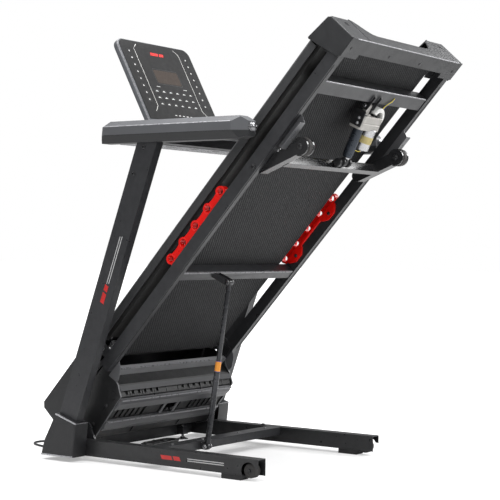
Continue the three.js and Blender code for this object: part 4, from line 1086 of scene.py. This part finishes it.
def make_strut():
    """The folding strut: cylinder, sleeve and its edges, piston and eye."""
    origin, top = (0, 0, 0), (0, 0, STRUT_LENGTH)
    tube = Shape()
    tube.lathe([(9, 7.3), (9, 7.6), (12, 8.95), (236, 8.95), (236, 7.35)], "z", origin, 48)
    tube.ring("x", 10, 4.6, -8, 8, origin, 36, 1.0)
    tube.rod("z", 5.6, 7.0, 12.0, origin, 24, 0.6)
    tube.piece("strut_cylinder", "strut_tube", "black_steel", STRUT_BLACK, STRUT, replaces=("strut_tube",))
    Shape().lathe([(237.4, 7.4), (237.4, 8.98), (267.6, 8.98), (267.6, 7.4)], "z", origin, 48).piece(
        "strut_sleeve", "strut_tube", "red_elastomer", ORANGE, STRUT)
    edges = Shape()
    for z in (236.0, 267.6):
        edges.lathe([(z, 7.4), (z, 8.97), (z + 1.4, 8.97), (z + 1.4, 7.4)], "z", origin, 48)
    edges.piece("strut_sleeve_edges", "strut_tube", "dark_plastic", BLUE_WIRE, STRUT)
    Shape().rod("z", 7, STRUT_LENGTH - 263, STRUT_LENGTH - 9, origin, 40, 1.0).piece(
        "strut_piston", "strut_rod", "bright_steel", STRUT_BLACK, STRUT, replaces=("strut_rod",))
    eye = Shape()
    eye.ring("x", 9, 4.4, -10, 10, top, 36, 1.0)
    eye.layers((0, 0), 1.5, "z", [(STRUT_LENGTH - below, half, half) for below, half in
                                  ((10.8, 6.6), (9.8, 7.4), (7, 7.4), (5, 6.4))])
    eye.rod("x", 4.2, -11, 11, top, 24, 0.5)
    eye.piece("strut_eye", "strut_rod", "bright_steel", OXIDE, STRUT, bevel=0.4)


def make_actuator_housing():
    """The screw's tube, the cast gearbox, the cover arched over its gears and the bracket."""
    origin, cover_x = (0, 0, 0), 52
    tube = Shape()
    tube.lathe([(-165.8, 10.8), (-165.8, 13), (-164, 14.6), (-156, 14.6), (-155, 15.9), (-66, 15.9),
                (-66, 10.8)], "z", origin, 48)
    tube.piece("actuator_tube", "actuator_body", "cast_metal", BLUE_TUBE, ACTUATOR,
               replaces=("actuator_body",))
    box = Shape()
    for z0, z1 in ((-72, -51), (-49.6, -28)):
        box.layers((28, 1), 11, "z", [(z, 55.8 - ease, 22.8 - ease) for z, ease in
                                      ((z0, 1.6), (z0 + 1.6, 0), (z1 - 1.6, 0), (z1, 1.6))])
    box.slab((-26.6, 82.6, -20.6, 22.6), 10, "z", -52, -48)
    box.lathe([(-72.8, 10.8), (-72.8, 17.6), (-71.6, 18.8), (-23.4, 18.8), (-22.2, 17.6), (-22.2, 1)],
              "z", origin, 40)
    box.slab((-9.8, 9.8, -7.8, 7.8), 2, "z", -30, 0)
    box.ring("x", 9, 4.7, -10, 10, origin, 32, 0.8)
    box.piece("actuator_gearbox", "actuator_body", "cast_metal", CAST, ACTUATOR, bevel=0.6)
    cover = Shape()
    arcs = [(y, arc(cover_x, -29, r, -25, 155, 20)) for y, r in
            ((-21, 20), (-21, 29), (-18.5, 32), (12, 32), (14, 30), (14, 20))]
    cover.loft([[(line[k][0], y, line[k][1]) for y, line in arcs] for k in range(21)])
    cover.piece("actuator_cover", "actuator_body", "grey_plastic", WHITE_PLASTIC, ACTUATOR, bevel=1.2,
                segments=3)
    gears = Shape()
    gears.rod("y", 17, -12, 12, (cover_x, 0, -28), 40, 1.5)
    gears.rod("y", 6, -17, -10, (cover_x, 0, -28), 24, 1.0)
    gears.piece("actuator_gears", "actuator_body", "black_steel", BLACK_PAINT, ACTUATOR)
    bracket = Shape()
    bracket.prism([(-11, -40), (11, -40), (11, -6), (6, 8), (-6, 8), (-11, -6)], "x", 11.4, 15.2)
    bracket.slab((-31, -27.4, -20, 20), 1.2, "z", -64, -14)
    bracket.slab((-31, -12, -20, 14), 2, "z", -27.6, -24.4)
    bracket.piece("actuator_bracket", "actuator_body", "black_steel", BLACK_PAINT, ACTUATOR, bevel=0.6)


def make_actuator_motor():
    """The motor beside the screw, its plain label, the bolts, two leads and their plug."""
    centre = (50, -4, 0)
    motor = Shape()
    motor.lathe([(-137.9, 1), (-137.9, 9), (-136, 10), (-134.5, 21.5), (-133, 23.4), (-130, 23.9),
                 (-68, 23.9), (-66, 22.5), (-66, 1)], "z", centre, 56)
    motor.piece("actuator_motor", "actuator_body", "bright_steel", BRUSHED, ACTUATOR)
    Shape().lathe([(-112, 23.6), (-112, 23.98), (-90, 23.98), (-90, 23.6)], "z", centre, 56).piece(
        "actuator_label", "actuator_body", "grey_plastic", YELLOW, ACTUATOR)
    bolts = Shape()
    for x, y in ((-20, -14), (-20, 14), (76, -14), (76, 17)):
        bolts.rod("z", 3.6, -29, -24.4, (x, y, 0), 20, 0.6)
    for z in (-54, -38):
        bolts.screw("x", 3.4, -31.0, -1, (0, -6, z), 2.4)
    bolts.screw_pair(4.6, 0, 16.2, 0, 0, 3.0)
    bolts.piece("actuator_bolts", "actuator_body", "bright_steel", STEEL, ACTUATOR)
    for name, color, dx in (("yellow", YELLOW_WIRE, 0.0), ("blue", BLUE_WIRE, 4.0)):
        path = [(60 + dx, -4, -132), (62 + dx, -2, -140), (56 + dx, 4, -146), (40 + dx, 12, -142),
                (26 + dx, 20, -126), (20 + dx, 21, -104), (18 + dx * 0.5, 22, -78)]
        wire(f"actuator_wire_{name}", path, 1.5, "actuator_body", color, ACTUATOR)
    Shape().prism([(16, 14), (27, 14), (27, 21), (16, 21)], "z", -104, -86).piece(
        "actuator_plug", "actuator_body", "grey_plastic", WHITE_PLASTIC, ACTUATOR, bevel=0.8)


def make_actuator_rod():
    """The screw with its eye, and the knuckles and bolts of the lug on the lift frame."""
    origin, tip = (0, 0, 0), -ACT_LENGTH
    rod = Shape()
    rod.lathe([(tip + 12, 1), (tip + 12, 8.6), (tip + 16, 9.9), (-100, 9.9), (-82, 9.9), (-80, 9.0),
               (-80, 1)], "z", origin, 40)
    rod.piece("actuator_screw", "actuator_rod", "bright_steel", BRUSHED, ACTUATOR, replaces=("actuator_rod",))
    eye = Shape()
    eye.layers((0, 0), 2, "z", ((tip + 14, 7.2, 8.2), (tip + 11, 8, 9), (tip, 8, 9)))
    eye.ring("x", 9, 4.4, -8, 8, (0, 0, tip), 32, 0.8)
    eye.rod("x", 4.3, -15.6, 15.6, (0, 0, tip), 24, 0.6)
    eye.piece("actuator_eye", "actuator_rod", "black_steel", BLACK_PAINT, ACTUATOR, bevel=0.4)
    Shape().screw_pair(5.6, 0, 17.6, 0, 0, 5.0).piece(
        "lift_lug_bolts", "lift_frame", "bright_steel", STEEL, LIFT_LUG)
    knuckles = Shape()
    for out in OUTWARD:
        knuckles.rod("x", 14.0, *span(out, 12.2, 19.6), origin, 36, 1.2)
    knuckles.rod("x", 12.5, -36.0, -20.0, (0, 3, 3), 36, 1.6)
    knuckles.piece("lift_knuckles", "lift_frame", "black_steel", BLACK_PAINT, LIFT_LUG)


def make_lift_details():
    """The tyres of the lift wheels, their axle bolts and the lift frame's pivot bolts."""
    centre = (0, -HUB_S, HUB_N)
    for word, side in SIDES:
        low, high = span(side, 262.2, 283.8)
        roll = Shape()
        roll.lathe([(low, 6), (low, 22), (low + 1.2, 25), (low + 4, 27.6), ((low + high) / 2, 27.95),
                    (high - 4, 27.6), (high - 1.2, 25), (high, 22), (high, 6)], "x", centre, 56)
        roll.piece(f"lift_tyre_{word}", f"lift_wheel_{word}", "black_rubber", GREY_RUBBER, DECK,
                   replaces=(f"lift_wheel_{word}",))
        bolts = Shape()
        bolts.screw("x", 6.0, side * 292, side, centre, 1.4)
        bolts.screw("x", 6.0, side * 254, -side, centre, 3.4)
        bolts.piece(f"lift_axle_bolts_{word}", "lift_frame", "bright_steel", OXIDE, DECK)
        Shape().screw("x", 6.2, side * 320, side, (0, -LIFT_S, LIFT_N), 3.0).piece(
            f"lift_pivot_bolt_{word}", "deck", "bright_steel", OXIDE, DECK)


def make_deck_screws():
    """Screws of the motor bay and the rear cover, the upper bolts of strut and actuator, and its mount."""
    front = Shape()
    rear = Shape()
    for _, side in SIDES:
        front.rod("z", 4.6, 46.6, 50.4, (side * 262, -181, 0), 6, 0.6)
        for s, n in ((20, -4), (100, -2)):
            front.screw("x", 4.0, side * 294.7, side, (0, -s, n), 1.6)
        rear.rod("y", 3.9, -1489.8, -1482.0, (side * 275, 0, 118.5), 20, 0.6)
        for x in (300, 90):
            rear.rod("z", 4.0, 45.6, 47.4, (side * x, -1456, 0), 24, 0.5)
    for x in (-12, 9):
        front.rod("z", 4.0, -36.4, -32.2, (x, -84, 0), 24, 0.8)
    front.piece("compartment_screws", "deck", "bright_steel", OXIDE, DECK)
    rear.piece("rear_screws", "deck", "bright_steel", OXIDE, DECK)
    Shape().screw_pair(5.2, STRUT_X, 15.0, -STRUT_TOP[0], STRUT_TOP[1], 3.0).piece(
        "strut_top_bolts", "deck", "bright_steel", OXIDE, DECK)
    Shape().screw_pair(5.2, ACT_X, 16.0, -ACT_TOP[0], ACT_TOP[1], 3.0).piece(
        "actuator_top_bolts", "deck", "bright_steel", STEEL, DECK)
    cheeks = Shape()
    for out in OUTWARD:
        low, high = span(out, 16.4, 19.2)
        cheeks.deck([(1268, 52), (1272, 47), (1316, 47), (1322, 53.4), (1294, 54.4), (1276, 66), (1268, 62)],
                    ACT_X + low, ACT_X + high)
    cheeks.piece("actuator_mount", "deck", "black_steel", BLACK_PAINT, DECK, bevel=0.5)


def make_ribs():
    """The grip ribs along the foot rails and the moulded ribs of the belly pan."""
    count = 9
    for word, side in SIDES:
        grip = Shape()
        low, high = span(side, 264, 307)
        for k in range(count):
            x = low + (high - low) * (k + 0.5) / count
            grip.slab((x - 1.5, x + 1.5, 163.4, 164.0), 0.25, "y", -1380, -244, 2)
        grip.piece(f"foot_rail_ribs_{word}", "deck", "dark_plastic", RUBBER, DECK)
    ribs = Shape()
    for x in (-120, 120):
        ribs.deck([(156, -22.4), (156, -24.4), (-10, -34.4), (-10, -32.2)], x - 1.2, x + 1.2)
    for x in range(-240, 241, 60):
        ribs.deck([(174.5, 14), (176.8, 14), (158, -22.6), (156.4, -21.4)], x - 1.1, x + 1.1)
    ribs.piece("pan_ribs", "deck", "dark_plastic", DARK_PLASTIC, DECK)


def make_painted_highlights():
    """Painted highlights: a thin pale strip or lip on the arrises of the rear cover and of each cross piece,
    pale rims round the side plates, and a small gusset on each plate.
    """
    Shape().deck([(1488.2, 47.4), (1488.2, 45.9), (1490.2, 45.9), (1490.2, 48.2)], -300, 300).piece(
        "painted_highlight_cover", "deck", "frame_paint", TRIM, DECK)
    for name, s, n, half, width in (
            ("rear_member", 1338, 55, 292, 3.2), ("front_member", 607, 55, 292, 4.2),
            ("cross_bar", 204, 50, 286, 3.0), ("cradle_rear", 150, -35, 286, 3.0),
            ("cradle_front", 61, -40, 286, 3.0)):
        arris_highlight = Shape()
        arris_highlight.deck([(s - width, n - 0.7), (s - 0.6, n - 0.7), (s + 0.7, n + 0.6), (s + 0.7, n + width),
                    (s - 0.2, n + width), (s - 0.2, n + 1.0), (s - 1.0, n + 0.2), (s - width, n + 0.2)],
                   -half, half)
        arris_highlight.piece(f"painted_highlight_{name}", "deck", "frame_paint", EDGE_HIGHLIGHT_PAINT, DECK)
    # The pale rims along the side plates' outline are painted highlights; the second outline is a small
    # gusset.
    rim_highlights_and_gussets = Shape()
    outline = [(198, 57), (184, 34), (178, 8), (159, -25), (-14, -36), (-50, -12), (-55, 22)]
    for _, side in SIDES:
        for a, b in zip(outline, outline[1:]):
            rim_highlights_and_gussets.deck(ribbon(a, b, 0.7), *span(side, 288.6, 295.0))
        rim_highlights_and_gussets.deck([(176, 52.2), (238, 52.2), (226, 34), (196, 16), (184, 16)], *span(side, 295.4, 298.4))
    rim_highlights_and_gussets.piece("plate_rim_highlights_and_gussets", "deck", "frame_paint", EDGE_PAINT, DECK, bevel=0.3)


def make_guards():
    """Wheel guards with a slot each, the seams of the deck tubes, the rear roller's mounts and bolts."""
    guards = Shape()
    seams = Shape()
    for _, side in SIDES:
        guards.deck([(1102, 53), (1112, 28), (1208, 28), (1218, 53)], *span(side, 292.4, 294.8))
        guards.window((*span(side, 294, 318), -1208, -1112), (side * 306 - 3, side * 306 + 3, -1176, -1144),
                      (3, 2.9), "z", 28.0, 30.6)
        x = side * 313.2
        seams.slab((x - 1.4, x + 1.4, 51.3, 52.6), 0.4, "y", -1392, -246, 2)
    guards.piece("wheel_guards", "deck", "frame_paint", EDGE_PAINT, DECK, bevel=0.3)
    seams.piece("tube_seams", "deck", "frame_paint", BLACK_PAINT, DECK)
    mounts = Shape()
    for _, side in SIDES:
        mounts.deck([(1399, 93), (1436, 93), (1436, 104), (1426, 123), (1404, 123), (1399, 118)],
                    *span(side, 257, 303))
        mounts.deck([(1392, 92), (1440, 92), (1440, 95), (1392, 95)], *span(side, 262, 303))
    mounts.piece("roller_mounts", "deck", "black_steel", BLACK_PAINT, DECK, bevel=1.0)
    ends = Shape()
    for _, side in SIDES:
        ends.rod("x", 4.2, *span(side, 272, 294), (0, -1092, 47), 24, 1.2)
        ends.rod("x", 7.0, *span(side, 284, 290), (0, -1092, 47), 6, 0.8)
    ends.piece("guard_bolts", "deck", "bright_steel", STEEL, DECK)


def make_wires_and_vents():
    """The lift's leads over the rear cross member, and the dark vents of the motor hood."""
    hood_top, vent_half, vent_depth = 185.6, 9, 6
    for name, color, dx in (("yellow", YELLOW_WIRE, 0), ("blue", BLUE_WIRE, 3)):
        path = [(72 + dx, -1280, 44), (78 + dx, -1286, 47), (86 + dx, -1293, 50), (96 + dx, -1302, 51),
                (108 + dx, -1312, 52), (114 + dx, -1322, 54.5)]
        wire(f"member_wire_{name}", path, 1.4, "deck", color, DECK)
    vents = Shape()
    for x in range(-182, 183, 28):
        for s in (4, 20):
            vents.slab((x - vent_half, x + vent_half, hood_top, hood_top + 0.9), 0.4, "y",
                       -s, -s - vent_depth, 2)
    vents.piece("hood_vents", "deck", "shell_plastic", BLACK_PAINT, DECK)


make_running_belt()
make_drive_belt()
make_rollers()
make_cushions()
make_strut()
make_actuator_housing()
make_actuator_motor()
make_actuator_rod()
make_lift_details()
make_deck_screws()
make_ribs()
make_painted_highlights()
make_guards()
make_wires_and_vents()


# ---- floor, light ------------------------------------------------------------------------
def make_floor():
    """Pale paper that glows for the camera alone, more so far from the object, so that it stays white."""
    g = Graph(bpy.data.materials.new("studio_floor"))
    away = g.add("ShaderNodeVectorMath", operation="LENGTH")
    g.link(g.place, away.inputs[0])
    glow = g.times(g.add("ShaderNodeLightPath").outputs["Is Camera Ray"],
                   g.remap(away.outputs["Value"], 0.36, 1.0, 0.6, 2.6))
    g.set({"Base Color": g.ramp(g.noise(1.2, 3.0), [(0.3, (0.69, 0.69, 0.69)), (0.7, (0.71, 0.71, 0.71))]),
           "Roughness": g.remap(g.noise(14.0), 0.85, 0.95), "Specular IOR Level": 0.1,
           "Normal": g.bump(g.noise(90.0), 0.0002, 0.3),
           "Emission Color": (1, 1, 1, 1), "Emission Strength": glow})
    mesh = bpy.data.meshes.new("studio_floor")
    bm = bmesh.new()
    bmesh.ops.create_grid(bm, x_segments=24, y_segments=24, size=30)
    bm.to_mesh(mesh)
    bm.free()
    mesh.materials.append(g.owner)
    floor = bpy.data.objects.new("studio_floor", mesh)
    bpy.context.scene.collection.objects.link(floor)


def make_lamps():
    """Square lamps: name, place, the point it looks at, size and power."""
    for name, location, target, size, power in (
            ("key", (-1.4, -2.6, 3.0), (0, -0.1, 0.7), 2.0, 66),
            ("fill", (1.8, -3.4, 1.4), (0, 0, 0.6), 1.8, 14),
            ("right", (2.45, -1.35, 2.16), (0, -0.3, 0.9), 1.4, 58),
            ("left", (-3.0, 0.6, 3.0), (0, 0.1, 1.1), 1.4, 16),
            ("top", (0.0, 0.1, 3.3), (0, 0, 0.8), 2.2, 135)):
        data = bpy.data.lights.new(name, "AREA")
        data.shape = "SQUARE"
        data.size = size
        data.energy = power
        lamp = bpy.data.objects.new(name, data)
        lamp.location = location
        lamp.rotation_euler = (Vector(target) - Vector(location)).to_track_quat("-Z", "Y").to_euler()
        bpy.context.scene.collection.objects.link(lamp)


def make_world():
    """A soft sky, brighter overhead, that the camera itself sees as plain white."""
    world = bpy.data.worlds.new("studio")
    bpy.context.scene.world = world
    world.use_nodes = True
    world.node_tree.nodes.clear()
    g = Graph(world, "Generated")
    sky = g.ramp(g.remap(g.height(), 0.0, 1.0, -1.0, 1.0), [
        (position, (value, value, value * 1.01))
        for position, value in ((0.0, 0.30), (0.48, 0.42), (0.62, 0.70), (1.0, 1.15))])
    soft = g.add("ShaderNodeBackground", Strength=0.48)
    g.link(sky, soft.inputs["Color"])
    white = g.add("ShaderNodeBackground", Color=(1, 1, 1, 1))
    mix = g.add("ShaderNodeMixShader")
    g.link(g.add("ShaderNodeLightPath").outputs["Is Camera Ray"], mix.inputs["Fac"])
    g.link(soft.outputs[0], mix.inputs[1])
    g.link(white.outputs[0], mix.inputs[2])
    g.link(mix.outputs[0], g.add("ShaderNodeOutputWorld").inputs["Surface"])
    bpy.context.scene.view_settings.view_transform = "Standard"


make_floor()
make_lamps()
make_world()
